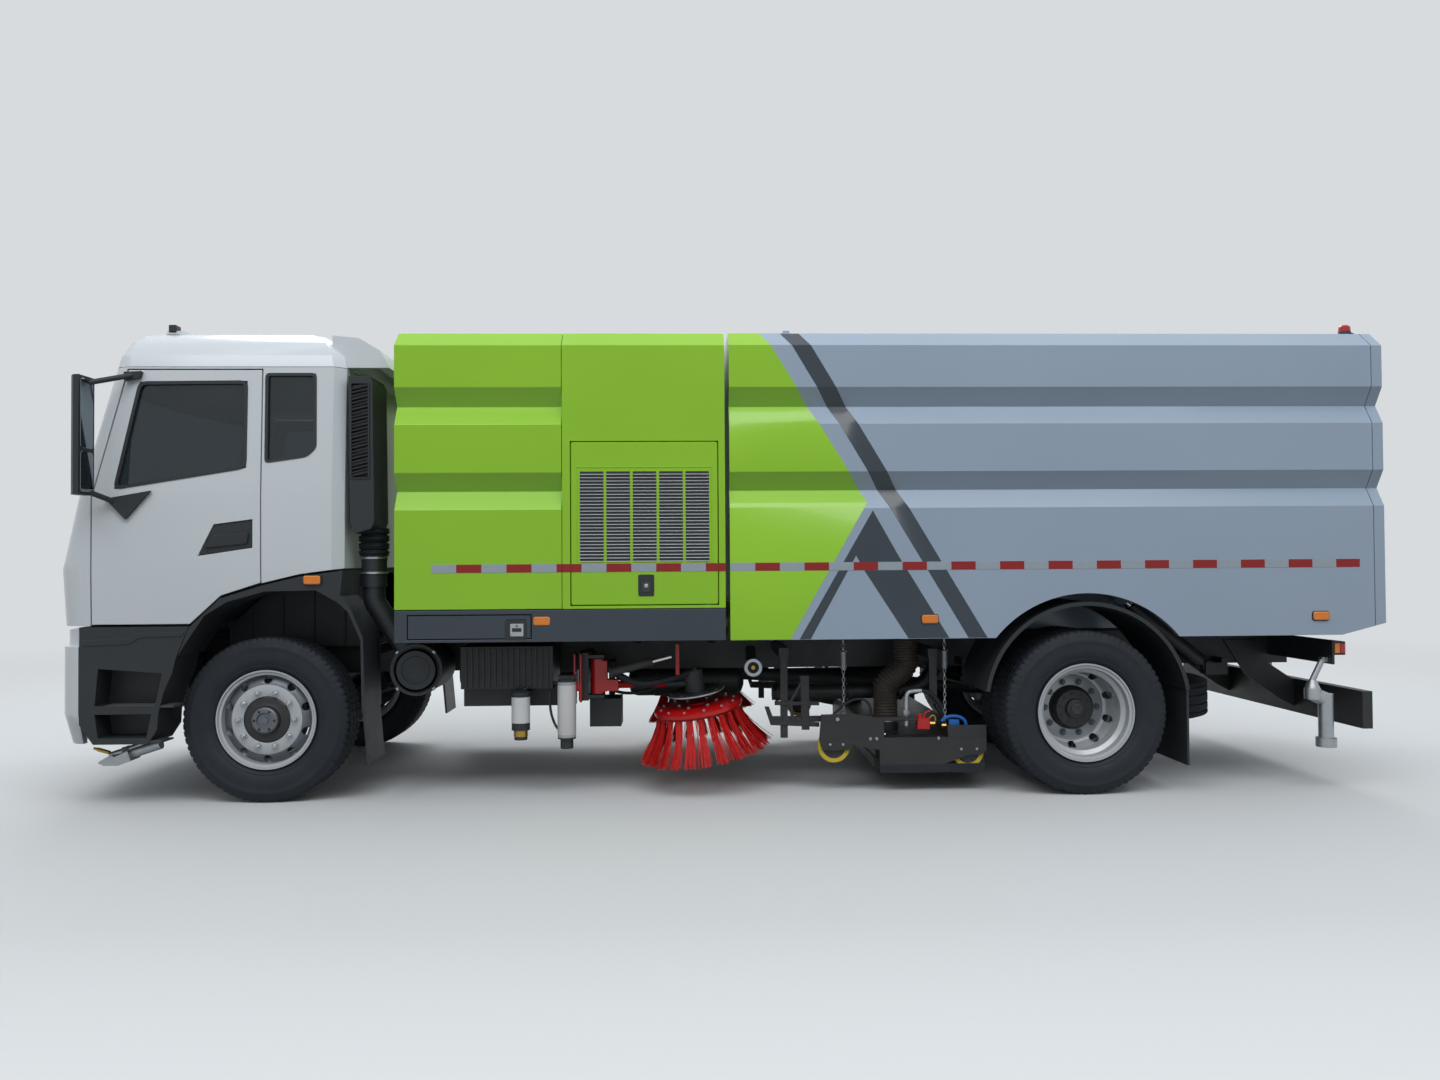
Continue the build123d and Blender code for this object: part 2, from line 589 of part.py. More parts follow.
# Rear mudguards: an arc over each twin wheel, ending in a straight flap behind
guard_z, guard_radius, guard_wall = 545, 637, 24
guard_inner_y, guard_outer_y = 634, 1243
flap_bottom = 175
with BuildPart() as rear_mudguards:
    for _, s in sides:
        with BuildSketch(Plane.XZ.offset(-s * guard_inner_y)):
            with Locations((rear_axle_x, guard_z)):
                Circle(guard_radius)
                Circle(guard_radius - guard_wall, mode=Mode.SUBTRACT)
            with Locations((rear_axle_x, guard_z - 300)):
                Rectangle(1500, 790, mode=Mode.SUBTRACT)
        extrude(amount=-s * (guard_outer_y - guard_inner_y))
        with Locations((rear_axle_x + 622, s * (guard_inner_y + guard_outer_y) / 2, (flap_bottom + 700) / 2)):
            Box(14, guard_outer_y - guard_inner_y - 30, 700 - flap_bottom)
        for end in (-1, 1):
            add(cross_box(wheelbase + end * 605, 760, s * rail_outer, s * (guard_inner_y + 10), 26, 50))
save(rear_mudguards, "rear_mudguards")

# Air intake on the left behind the cab: a tall snorkel with slats, a bellows, a pipe and the filter drum
intake_y_out, intake_y_in = -1200, -885
pipe_back, pipe_y, pipe_radius = 622, -1010, 76
drum_back, drum_z, drum_radius = 885, 786, 156
slat_count = 17
with BuildPart() as air_intake:
    add(side_prism(placed(((520, 2576), (648, 2576), (664, 2540), (674, 1700), (655, 1655), (556, 1625), (530, 1700))),
                   intake_y_out, intake_y_in))
    with Locations((back(590), intake_y_out, 2245)):
        Box(104, 60, 570, mode=Mode.SUBTRACT)
    for index in range(slat_count):
        slat_z = 1975 + index * 33
        add(side_prism(placed(((536, slat_z), (536, slat_z + 13), (644, slat_z + 33), (644, slat_z + 20))),
                       intake_y_out + 4, intake_y_out + 32))
    bellows_rows = [(pipe_radius + (18 if index % 2 else 0), 1665 - index * 22) for index in range(9)]
    with BuildSketch(Plane(origin=(back(pipe_back), pipe_y, 0), x_dir=(1, 0, 0), z_dir=(0, -1, 0))):
        with BuildLine():
            Polyline((0, 1665), *bellows_rows, (pipe_radius, 1480), (0, 1480), close=True)
        make_face()
    revolve(axis=Axis((back(pipe_back), pipe_y, 0), (0, 0, 1)))
    add(bar((back(pipe_back), pipe_y, 1482), (back(pipe_back), pipe_y, 1300), pipe_radius))
    with BuildLine() as elbow_path:
        FilletPolyline((back(pipe_back), pipe_y, 1302), (back(pipe_back), pipe_y, 1210), (back(drum_back - 40), -960, 850),
                       radius=120)
    with BuildSketch(Plane(origin=elbow_path.line @ 0, z_dir=elbow_path.line % 0)):
        Circle(pipe_radius - 10)
    sweep(path=elbow_path.line)
    add(drum(back(drum_back), drum_z, drum_radius, -620, -1030))
    add(drum(back(drum_back), drum_z, drum_radius - 22, -1030, -1050))
    add(cross_box(drum_back, drum_z + 20, -rail_outer, -630, 120, 120))
save(air_intake, "air_intake")

# Battery box with a ribbed cover, the beam that carries it and the fuel filters that hang from it
battery_start, battery_end = 1147, 1716
rib_count = 15
filters = ((1525, 620, 352), (1808, 720, 296))
with BuildPart() as battery_box:
    with Locations((back((battery_start + battery_end) / 2), -790, 790)):
        Box(battery_end - battery_start, 400, 262)
    for index in range(rib_count):
        with Locations((back(battery_start + 32 + index * 36), -994, 790)):
            Box(14, 12, 240)
    add(cross_box(1495, 600, -760, -880, 700, 122))
    for distance in (1250, 1600):
        add(cross_box(distance, 760, -rail_outer, -600, 70, 70))
    for distance, top, bottom in filters:
        with Locations((back(distance), -955, top + 12)):
            Box(100, 220, 26)
        add(bar((back(distance), -1040, top), (back(distance), -1040, bottom + 60), 56))
        add(bar((back(distance), -1040, bottom + 64), (back(distance), -1040, bottom), 40))
    # Valve box that hangs from the rail on its own strap
    add(cross_box(2030, 480, -590, -810, 200, 178))
    add(cross_box(2060, 765, -rail_outer, -620, 40, 40))
    add(cross_box(2060, 670, -600, -620, 40, 210))
save(battery_box, "battery_box")

# Fuel tank on the right, with rounded corners, straps and a filler neck
with BuildPart() as fuel_tank:
    with BuildSketch(Plane.YZ.offset(back(820))):
        with Locations((820, 720)):
            RectangleRounded(480, 420, 70)
    extrude(amount=900)
    for distance in (1000, 1500):
        with BuildSketch(Plane.YZ.offset(back(distance))):
            with Locations((820, 720)):
                RectangleRounded(492, 432, 74)
        extrude(amount=50)
        add(cross_box(distance + 25, 820, rail_outer, 590, 50, 90))
    add(bar((back(1250), 980, 900), (back(1250), 1040, 960), 45))
save(fuel_tank, "fuel_tank")

# Outline of the body's side panels: height and how far the panel stands in from the full width
rib_rows = ((1762, 0), (1875, rib_depth), (1985, 0), (2275, 0), (2388, rib_depth), (2500, 0), (2755, 0))


# The body's cross-section from a bottom height up, drawn inwards by the inset; plain sides have no ribs
def body_section(bottom, inset, ribbed):
    rows = rib_rows if ribbed else rib_rows[-1:]
    right = [(half_width - inset, bottom)]
    right += [(half_width - inset - depth, z) for z, depth in rows]
    right += [(half_width - inset * 1.3 - top_inset, body_top - inset)]
    return right + [(-y, z) for y, z in reversed(right)]


with BuildPart() as water_tank:
    add(end_prism(body_section(box_bottom, 0, True), back(tank_start), tank_end - tank_start))
    # Filler hatch on top
    with Locations((back(1300), 0, body_top + 12)):
        Box(520, 520, 24)
save(water_tank, "water_tank")

# Engine housing: hollow, with a louvred door on each side
door_start, door_end, door_bottom, door_top = 1859, 2743, 1186, 2168
fit_gap = 5
housing_wall = 36
with BuildPart() as engine_housing:
    add(end_prism(body_section(box_bottom, 0, False), back(housing_start), housing_end - housing_start))
    add(end_prism(body_section(box_bottom + housing_wall, housing_wall, False), back(housing_start + housing_wall),
                  housing_end - housing_start - 2 * housing_wall), mode=Mode.SUBTRACT)
    with Locations((back((door_start + door_end) / 2), 0, (door_bottom + door_top) / 2)):
        Box(door_end - door_start + 2 * fit_gap, 3000, door_top - door_bottom + 2 * fit_gap, mode=Mode.SUBTRACT)
save(engine_housing, "engine_housing")

# Auxiliary engine and blower as one plain block with its fan casing
with BuildPart() as auxiliary_engine:
    with Locations((back(2180), 0, 1530)):
        Box(620, 780, 660)
    add(bar((back(2480), 0, 1560), (back(2690), 0, 1560), 340))
save(auxiliary_engine, "auxiliary_engine")

# Louvred doors of the engine housing: five columns of slots and a latch recess
louvre_columns, louvre_rows = 5, 14
column_pitch, column_width = 160, 146
louvre_left, louvre_bottom, row_pitch = 1985, 1448, 41
door_thickness = 34
for side, s in sides:
    with BuildPart() as engine_door:
        with Locations((back((door_start + door_end) / 2), s * (half_width - door_thickness / 2),
                        (door_bottom + door_top) / 2)):
            Box(door_end - door_start, door_thickness, door_top - door_bottom)
        louvre_middle = (back(louvre_left + 2 * column_pitch), s * half_width, louvre_bottom + 6.5 * row_pitch)
        with BuildSketch(Plane(origin=louvre_middle, x_dir=(1, 0, 0), z_dir=(0, -1, 0))):
            with GridLocations(column_pitch, row_pitch, louvre_columns, louvre_rows):
                Rectangle(column_width, 20)
        extrude(amount=60, both=True, mode=Mode.SUBTRACT)
        add(cross_box(2310, 1292, s * (half_width - 12), s * (half_width + 5), 94, 122), mode=Mode.SUBTRACT)
        add(cross_box(2310, 1292, s * (half_width - 14), s * (half_width - 3), 54, 60))
    save(engine_door, f"engine_door_{side}")

# Side skirts below the tank and the engine housing, with the locker behind its lid on the left
skirt_thickness = 25
lid_start, lid_end, lid_bottom, lid_top = 886, 1616, 990, 1128
with BuildPart() as side_skirts:
    for _, s in sides:
        with Locations((back((tank_start + housing_end) / 2), s * (half_width - skirt_thickness / 2),
                        (body_bottom + box_bottom) / 2 - 2)):
            Box(housing_end - tank_start, skirt_thickness, box_bottom - body_bottom - 4)
        with Locations((back((tank_start + housing_end) / 2), s * 1216, box_bottom - 9)):
            Box(housing_end - tank_start, 62, 10)
    with Locations((back((lid_start + lid_end) / 2), -1070, (lid_bottom + lid_top) / 2)):
        Box(lid_end - lid_start + 2 * fit_gap + 16, 330, lid_top - lid_bottom + 2 * fit_gap + 12)
    with Locations((back((lid_start + lid_end) / 2), -1130, (lid_bottom + lid_top) / 2)):
        Box(lid_end - lid_start + 2 * fit_gap, 434, lid_top - lid_bottom + 2 * fit_gap, mode=Mode.SUBTRACT)
save(side_skirts, "side_skirts")

with BuildPart() as locker_lid:
    with Locations((back((lid_start + lid_end) / 2), -(half_width - 9), (lid_bottom + lid_top) / 2)):
        Box(lid_end - lid_start, 18, lid_top - lid_bottom)
    add(cross_box(1530, 1058, 7 - half_width, -half_width - 5, 118, 88), mode=Mode.SUBTRACT)
    add(cross_box(1530, 1058, 9 - half_width, 2 - half_width, 46, 56))
save(locker_lid, "locker_lid")

# Under-run beam across the rear, its arms, and the panel with the rear lamps
beam_start, beam_end, beam_bottom, beam_top = 6737, 6800, 381, 612
with BuildPart() as under_run_beam:
    add(end_prism(((-1200, beam_bottom), (1200, beam_bottom), (1200, beam_top), (-1200, beam_top)), back(beam_start),
                  beam_end - beam_start))
    for _, s in sides:
        add(side_prism(placed(((6250, 880), (6470, 880), (6500, 760), (6740, 600), (6740, 420), (6640, 470),
                               (6400, 640))), s * rail_outer, s * (rail_outer + 14)))
        with Locations((back(6560), s * 820, 855)):
            Box(14, 752, 150)
        with Locations((back(6600), s * 1120, 880)):
            Box(70, 150, 84)
        with Locations((back(6520), s * 437, 855)):
            Box(80, 14, 120)
save(under_run_beam, "under_run_beam")

# Water pipes: the spray nozzle under the front step and the drain outlet ahead of the rear beam
with BuildPart() as water_pipes:
    add(bar((back(-700), -1000, 384), (back(-700), -1000, 350), 26))
    add(bar((back(-676), -1000, 348), (back(-880), -1000, 284), 33))
    add(side_prism(placed(((-850, 314), (-830, 256), (-905, 226), (-1000, 226), (-1000, 238), (-915, 284))), -1062,
                   -938))
    with BuildSketch(Plane(origin=(back(6462), -1130, 0), x_dir=(1, 0, 0), z_dir=(0, -1, 0))):
        with BuildLine():
            Polyline((0, 680), (22, 680), (48, 620), (48, 560), (0, 560), close=True)
        make_face()
    revolve(axis=Axis((back(6462), -1130, 0), (0, 0, 1)))
    add(bar((back(6462), -1130, 590), (back(6545), -1130, 556), 44))
    add(bar((back(6545), -1130, 592), (back(6545), -1130, 300), 44))
    add(bar((back(6545), -1130, 318), (back(6545), -1130, 262), 60))
    add(bar((back(6462), -1130, 676), (back(6525), -1130, 800), 18))
    add(cross_box(6535, 805, -1110, -1150, 36, 30))
save(water_pipes, "water_pipes")

# Hopper: a ribbed hollow box open at the rear, with skirts that clear the wheels and arms down to its pivot
floor_bottom, floor_top = 1240, 1280
arch_radius = 735
corner_slope = ((6585, body_bottom), (6869, 1040))
inlet_back, inlet_y, inlet_radius = 3990, 720, 86
hopper_arm_in, hopper_arm_out = 286, 332
clevis_in, clevis_out, pin_head = 36, 50, 8
hopper_length = hopper_end - hopper_start
with BuildPart() as hopper:
    add(end_prism(body_section(body_bottom, 0, True), back(hopper_start), hopper_length))
    add(end_prism(body_section(floor_top, wall, True), back(hopper_start + wall), hopper_length), mode=Mode.SUBTRACT)
    with Locations((back(hopper_start + wall + hopper_length / 2), 0, (body_bottom - 10 + floor_bottom) / 2)):
        Box(hopper_length, 2 * (half_width - wall), floor_bottom - body_bottom + 10, mode=Mode.SUBTRACT)
    add(drum(rear_axle_x, tyre_radius, arch_radius, -1300, 1300), mode=Mode.SUBTRACT)
    add(side_prism(placed((corner_slope[0], corner_slope[1], (6900, 900), (6500, 900))), -1300, 1300),
        mode=Mode.SUBTRACT)
    # Beams under the floor, which rest over the rails, and the hinge arms inside them
    for _, s in sides:
        add(side_prism(placed(((hopper_start + 20, body_bottom), (6400, body_bottom), (6560, floor_bottom + 5),
                               (hopper_start + 20, floor_bottom + 5))), s * 345, s * 420))
        add(side_prism(placed(((6420, floor_bottom + 5), (6545, tip_pivot_z), (6655, tip_pivot_z), (6700, 1050),
                               (6700, floor_bottom + 5))), s * hopper_arm_in, s * hopper_arm_out))
        add(drum(back(tip_pivot_back), tip_pivot_z, 55, s * hopper_arm_in, s * hopper_arm_out))
        add(drum(back(tip_pivot_back), tip_pivot_z, tip_pin_radius + 0.5, s * 200, s * 400), mode=Mode.SUBTRACT)
        # Duct that stands over the hose, and the clevis of the ram
        add(bar((back(inlet_back), s * inlet_y, 962), (back(inlet_back), s * inlet_y, floor_bottom + 5),
                inlet_radius + 8))
        add(bar((back(inlet_back), s * inlet_y, 955), (back(inlet_back), s * inlet_y, floor_top + 5), inlet_radius),
            mode=Mode.SUBTRACT)
        # The clevis is open in the middle: its pin is two stubs, which leave the rod's eye room to drift
        for side_of_eye in (-1, 1):
            inner_y, outer_y = s * ram_y + side_of_eye * clevis_in, s * ram_y + side_of_eye * clevis_out
            add(side_prism(placed(((ram_eye_back - 90, floor_bottom + 5), (ram_eye_back - 45, ram_eye_z - 36),
                                   (ram_eye_back + 45, ram_eye_z - 36), (ram_eye_back + 90, floor_bottom + 5))),
                           inner_y, outer_y))
            add(drum(back(ram_eye_back), ram_eye_z, 20, inner_y, outer_y + side_of_eye * pin_head))
        # Hinge knuckles of the tailgate with their pins
        add(drum(back(tailgate_pivot_back), tailgate_pivot_z, 15, s * 620, s * 700))
        add(drum(back(tailgate_pivot_back), tailgate_pivot_z, 7, s * 620, s * 780))
        add(cross_box(6765, body_top + 6, s * 620, s * 700, 50, 18))
    # Lifting eye near the front of the roof
    add(side_prism(placed(((3160, body_top - 5), (3230, body_top - 5), (3215, body_top + 58), (3175, body_top + 58))),
                   -940, -900))
save(hopper, "hopper")

# Tailgate: a panel with the body's outline and three stiffeners, hung from the roof's rear edge
gate_start = hopper_end + fit_gap
with BuildPart() as tailgate:
    add(end_prism(body_section(1010, 0, True), back(gate_start), tailgate_end - gate_start))
    add(side_prism(placed((corner_slope[0], corner_slope[1], (6900, 900), (6500, 900))), -1300, 1300),
        mode=Mode.SUBTRACT)
    add(end_prism(body_section(1120, 130, False), back(gate_start + 30), 100), mode=Mode.SUBTRACT)
    for z in (1400, 1950, 2500):
        with Locations((back(gate_start + 42), 0, z)):
            Box(32, 2160, 90)
    for _, s in sides:
        add(drum(back(tailgate_pivot_back), tailgate_pivot_z, 15, s * 704, s * 776))
        add(side_prism(placed(((gate_start, body_top - 20), (gate_start, body_top + 2), (6790, body_top + 2),
                               (6790, tailgate_pivot_z + 14), (6850, body_top + 4), (6850, body_top - 20))),
                       s * 704, s * 776))
        add(drum(back(tailgate_pivot_back), tailgate_pivot_z, 7.5, s * 700, s * 790), mode=Mode.SUBTRACT)
save(tailgate, "tailgate")

# Tipping rams: a barrel on each side turns on the frame, and its rod reaches the hopper's eye
ram_direction = Vector(ram_eye_back - ram_foot_back, 0, ram_eye_z - ram_foot_z).normalized()


def along_ram(distance, y):
    return (back(ram_foot_back) + ram_direction.X * distance, y, ram_foot_z + ram_direction.Z * distance)


barrel_radius, rod_radius, barrel_length = 50, 30, 680
ram_length = ((ram_foot_back - ram_eye_back) ** 2 + (ram_eye_z - ram_foot_z) ** 2) ** 0.5
with BuildPart() as ram_barrels:
    for _, s in sides:
        add(bar(along_ram(75, s * ram_y), along_ram(barrel_length, s * ram_y), barrel_radius))
        add(bar(along_ram(20, s * ram_y), along_ram(80, s * ram_y), 24))
        add(bar(along_ram(95, s * ram_y), along_ram(barrel_length + 5, s * ram_y), rod_radius + 1), mode=Mode.SUBTRACT)
        add(drum(back(ram_foot_back), ram_foot_z, 46, s * (ram_y - 25), s * (ram_y + 25)))
        add(drum(back(ram_foot_back), ram_foot_z, 22, s * (ram_y - 60), s * (ram_y + 60)), mode=Mode.SUBTRACT)
save(ram_barrels, "ram_barrels")

with BuildPart() as ram_rods:
    for _, s in sides:
        add(bar(along_ram(100, s * ram_y), along_ram(ram_length - 38, s * ram_y), rod_radius))
        add(drum(back(ram_eye_back), ram_eye_z, 42, s * (ram_y - 25), s * (ram_y + 25)))
        add(drum(back(ram_eye_back), ram_eye_z, 21, s * (ram_y - 60), s * (ram_y + 60)), mode=Mode.SUBTRACT)
save(ram_rods, "ram_rods")

# Brush brackets: a beam out from the rail, a post and the two eyes of the swing pin
swing_back, swing_y = 1990, 900
with BuildPart() as brush_brackets:
    for _, s in sides:
        add(cross_box(swing_back - 86, 812, s * rail_outer, s * 800, 62, 90))
        add(cross_box(swing_back - 86, 725, s * 750, s * 950, 62, 300))
        for z in (600, 850):
            add(cross_box(swing_back - 12, z, s * (swing_y - 50), s * (swing_y + 50), 110, 22))
        add(bar((back(swing_back), s * swing_y, 590), (back(swing_back), s * swing_y, 860), 20))
save(brush_brackets, "brush_brackets")

# Side brushes: the carrier swings out on the bracket's pin, the boom lifts on the carrier, the brush turns
lift_back, lift_z = 2085, 668
hub_back, hub_y, hub_z = 2616, 850, 566
lean_forward, lean_out = 9, 5
crown_radius, crown_height = 415, 365
for side, s in sides:
    brush_axis = Vector(-sin(radians(lean_forward)), s * sin(radians(lean_out)), 1).normalized()
    hub = Vector(back(hub_back), s * hub_y, hub_z)
    with BuildPart() as brush_carrier:
        add(bar((back(swing_back), s * swing_y, 617), (back(swing_back), s * swing_y, 833), 46))
        add(cross_box(swing_back + 35, 725, s * swing_y - 44, s * swing_y + 44, 50, 190))
        for offset in (-37, 37):
            y = s * swing_y + offset
            add(cross_box(lift_back - 10, lift_z, y - 7, y + 7, 90, 70))
        add(bar((back(swing_back), s * swing_y, 611), (back(swing_back), s * swing_y, 840), 20.5), mode=Mode.SUBTRACT)
        add(drum(back(lift_back), lift_z, 14, s * swing_y - 40, s * swing_y + 40))
    save(brush_carrier, f"brush_carrier_{side}")
    with BuildPart() as brush_boom:
        add(drum(back(lift_back), lift_z, 30, s * swing_y - 20, s * swing_y + 20))
        add(bar((back(lift_back), s * swing_y, lift_z), (back(hub_back - 60), s * (hub_y + 5), lift_z), 23))
        add(drum(back(lift_back), lift_z, 14.5, s * swing_y - 30, s * swing_y + 30), mode=Mode.SUBTRACT)
        # Motor and its round plate over the brush
        add(bar(hub + brush_axis * 44, hub + brush_axis * 58, 180))
        add(bar(hub + brush_axis * 50, hub + brush_axis * 190, 62))
    save(brush_boom, f"brush_boom_{side}")
    with BuildPart() as brush:
        with BuildSketch(Plane(origin=hub, x_dir=Vector(0, 1, 0).cross(brush_axis), z_dir=Vector(0, -1, 0) +
                               brush_axis * brush_axis.Y)):
            with BuildLine():
                Polyline((0, 38), (90, 38), (brush_radius - 40, 20), (brush_radius, -6), (brush_radius, -30),
                         (crown_radius, 20 - crown_height), (crown_radius - 90, -crown_height),
                         (brush_radius - 70, -34), (0, -20), close=True)
            make_face()
        revolve(axis=Axis(hub, brush_axis))
    save(brush, f"brush_{side}")

# Suction head: a hood across the truck, open below, with side plates, castor arms and two spigots
head_start, head_end, head_bottom, head_top = 3740, 4420, 165, 338
head_half = 955
plate_y = 1052
castor_radius, castor_y = 100, 1012
castors = (("front", 3466, 282), ("rear", 4310, 242))
spigot_back = 3850
with BuildPart() as suction_head:
    add(side_prism(placed(((head_start, head_bottom), (head_end, head_bottom), (head_end, 250), (head_end - 60, head_top),
                           (head_start + 20, head_top), (head_start, 300))), -head_half, head_half))
    add(side_prism(placed(((head_start + 30, head_bottom - 5), (head_end - 30, head_bottom - 5), (head_end - 30, 240),
                           (head_end - 75, head_top - 26), (head_start + 40, head_top - 26))), 30 - head_half,
                   head_half - 30), mode=Mode.SUBTRACT)
    for _, s in sides:
        # Outer plate with a slanted end over the rear castor, tied to the hood
        add(side_prism(placed(((3750, 170), (4150, 170), (4420, 262), (4420, head_top), (3750, head_top))),
                       s * (plate_y - 5), s * (plate_y + 5)))
        with Locations((back(3980), s * (head_half + plate_y) / 2, 290)):
            Box(380, plate_y - head_half, 60)
        # Arm to the front castor, and the axle pins
        add(side_prism(placed(((3560, 300), (3760, 260), (3760, 330), (3560, 345), (3430, 320), (3430, 262),
                               (3500, 262))), s * (plate_y - 5), s * (plate_y + 5)))
        for _, castor_back, castor_z in castors:
            add(drum(back(castor_back), castor_z, 16, s * (castor_y - 30), s * plate_y))
        add(bar((back(spigot_back), s * inlet_y, head_top - 30), (back(spigot_back), s * inlet_y, 400), 82))
        add(bar((back(spigot_back), s * inlet_y, head_top - 60), (back(spigot_back), s * inlet_y, 405), 70),
            mode=Mode.SUBTRACT)
    # Rubber edge round the bottom
    add(side_prism(placed(((head_start - 12, 144), (head_end + 12, 144), (head_end + 12, 200), (head_start - 12, 200))),
                   -head_half - 12, head_half + 12))
    add(side_prism(placed(((head_start + 2, 140), (head_end - 2, 140), (head_end - 2, 166), (head_start + 2, 166))),
                   2 - head_half, head_half - 2), mode=Mode.SUBTRACT)
    add(side_prism(placed(((head_start + 30, 150), (head_end - 30, 150), (head_end - 30, 230),
                           (head_start + 30, 230))), 30 - head_half, head_half - 30), mode=Mode.SUBTRACT)
save(suction_head, "suction_head")

for end, castor_back, castor_z in castors:
    for side, s in sides:
        with BuildPart() as castor:
            with BuildSketch(Plane(origin=(back(castor_back), s * castor_y, castor_z), x_dir=(0, 1, 0),
                                   z_dir=(1, 0, 0))):
                with BuildLine():
                    Polyline((-26, 17), (26, 17), (26, 34), (14, 44), (14, 72), (26, 80), (22, 96), (14, castor_radius),
                             (-14, castor_radius), (-22, 96), (-26, 80), (-14, 72), (-14, 44), (-26, 34), close=True)
                make_face()
            revolve(axis=Axis((back(castor_back), s * castor_y, castor_z), (0, 1, 0)))
        save(castor, f"castor_{end}_{side}")

# Suction hoses between the head's spigots and the hopper's ducts, bent once forwards and once up
hose_radius, hose_top, hose_bottom = 78, 950, 400
with BuildPart() as suction_hoses:
    for _, s in sides:
        with BuildLine() as hose_path:
            FilletPolyline((back(spigot_back), s * inlet_y, hose_bottom), (back(spigot_back), s * inlet_y, 560),
                           (back(inlet_back), s * inlet_y, 790), (back(inlet_back), s * inlet_y, hose_top), radius=170)
        with BuildSketch(Plane(origin=hose_path.line @ 0, z_dir=hose_path.line % 0)):
            Circle(hose_radius)
        sweep(path=hose_path.line)
save(suction_hoses, "suction_hoses")
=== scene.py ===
import math

import bmesh
import bpy
import numpy as np
from mathutils import Euler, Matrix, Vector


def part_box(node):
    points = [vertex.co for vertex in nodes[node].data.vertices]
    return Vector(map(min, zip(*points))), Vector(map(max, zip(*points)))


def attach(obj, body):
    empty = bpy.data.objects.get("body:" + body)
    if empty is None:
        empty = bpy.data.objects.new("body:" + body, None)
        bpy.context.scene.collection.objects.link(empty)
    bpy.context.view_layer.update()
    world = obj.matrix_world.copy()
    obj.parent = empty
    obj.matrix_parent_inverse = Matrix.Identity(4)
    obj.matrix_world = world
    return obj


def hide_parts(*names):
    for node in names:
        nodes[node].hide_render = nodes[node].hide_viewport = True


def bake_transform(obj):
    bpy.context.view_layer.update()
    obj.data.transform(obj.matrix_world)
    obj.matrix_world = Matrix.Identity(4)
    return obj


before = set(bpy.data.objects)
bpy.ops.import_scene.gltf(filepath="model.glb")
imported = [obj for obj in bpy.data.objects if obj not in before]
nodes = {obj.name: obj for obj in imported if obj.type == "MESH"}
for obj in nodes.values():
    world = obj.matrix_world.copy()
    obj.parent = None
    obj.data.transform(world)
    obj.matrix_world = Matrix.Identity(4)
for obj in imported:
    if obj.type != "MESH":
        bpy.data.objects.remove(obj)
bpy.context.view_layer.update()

rng = np.random.default_rng(7)  # every random draw below comes from here, in this order

# Shapes are written in millimetres as (behind the front axle, across, up). Negative across is the vehicle's
# left.
axleX = sum(corner[0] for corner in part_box("front_tyre_left")) / 2 * 1000


# A node's box in those millimetres
def boxOf(node):
    low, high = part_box(node)
    return np.array(low) * 1000 - (axleX, 0, 0), np.array(high) * 1000 - (axleX, 0, 0)


# sRGB hex text to linear colour, by the sRGB curve
def colour(text):
    raw = np.array([int(text[i:i + 2], 16) / 255 for i in (1, 3, 5)])
    return (*np.where(raw <= 0.04045, raw / 12.92, ((raw + 0.055) / 1.055) ** 2.4).tolist(), 1.0)


# One shader node with its settings (attributes, or sockets by name or number) and its links. A link comes
# from a socket, or from a node's first output.
def addNode(tree, kind, settings=None, links=None):
    node = tree.nodes.new("ShaderNode" + kind)
    for key, value in (settings or {}).items():
        if isinstance(key, str) and hasattr(node, key):
            setattr(node, key, value)
        else:
            node.inputs[key].default_value = value
    for key, source in (links or {}).items():
        tree.links.new(getattr(source, "outputs", [source])[0], node.inputs[key])
    return node


# A material's bump: its strength, its height in metres, and the socket that gives the height
def addRelief(tree, strength, height, source):
    relief = addNode(tree, "Bump", {"Strength": strength, "Distance": height}, {"Height": source})
    tree.links.new(relief.outputs[0], tree.nodes["Principled BSDF"].inputs["Normal"])


# Where a point lies in its object's own axes
def objectPlace(tree):
    return addNode(tree, "TexCoord").outputs["Object"]


materialSlots = {}
# Road film thickens from one height to another, in metres, up to a share; a grain stands so many metres high
film = {"top": 1.0, "foot": 0.1, "most": 0.5, "grain": 0.0003}


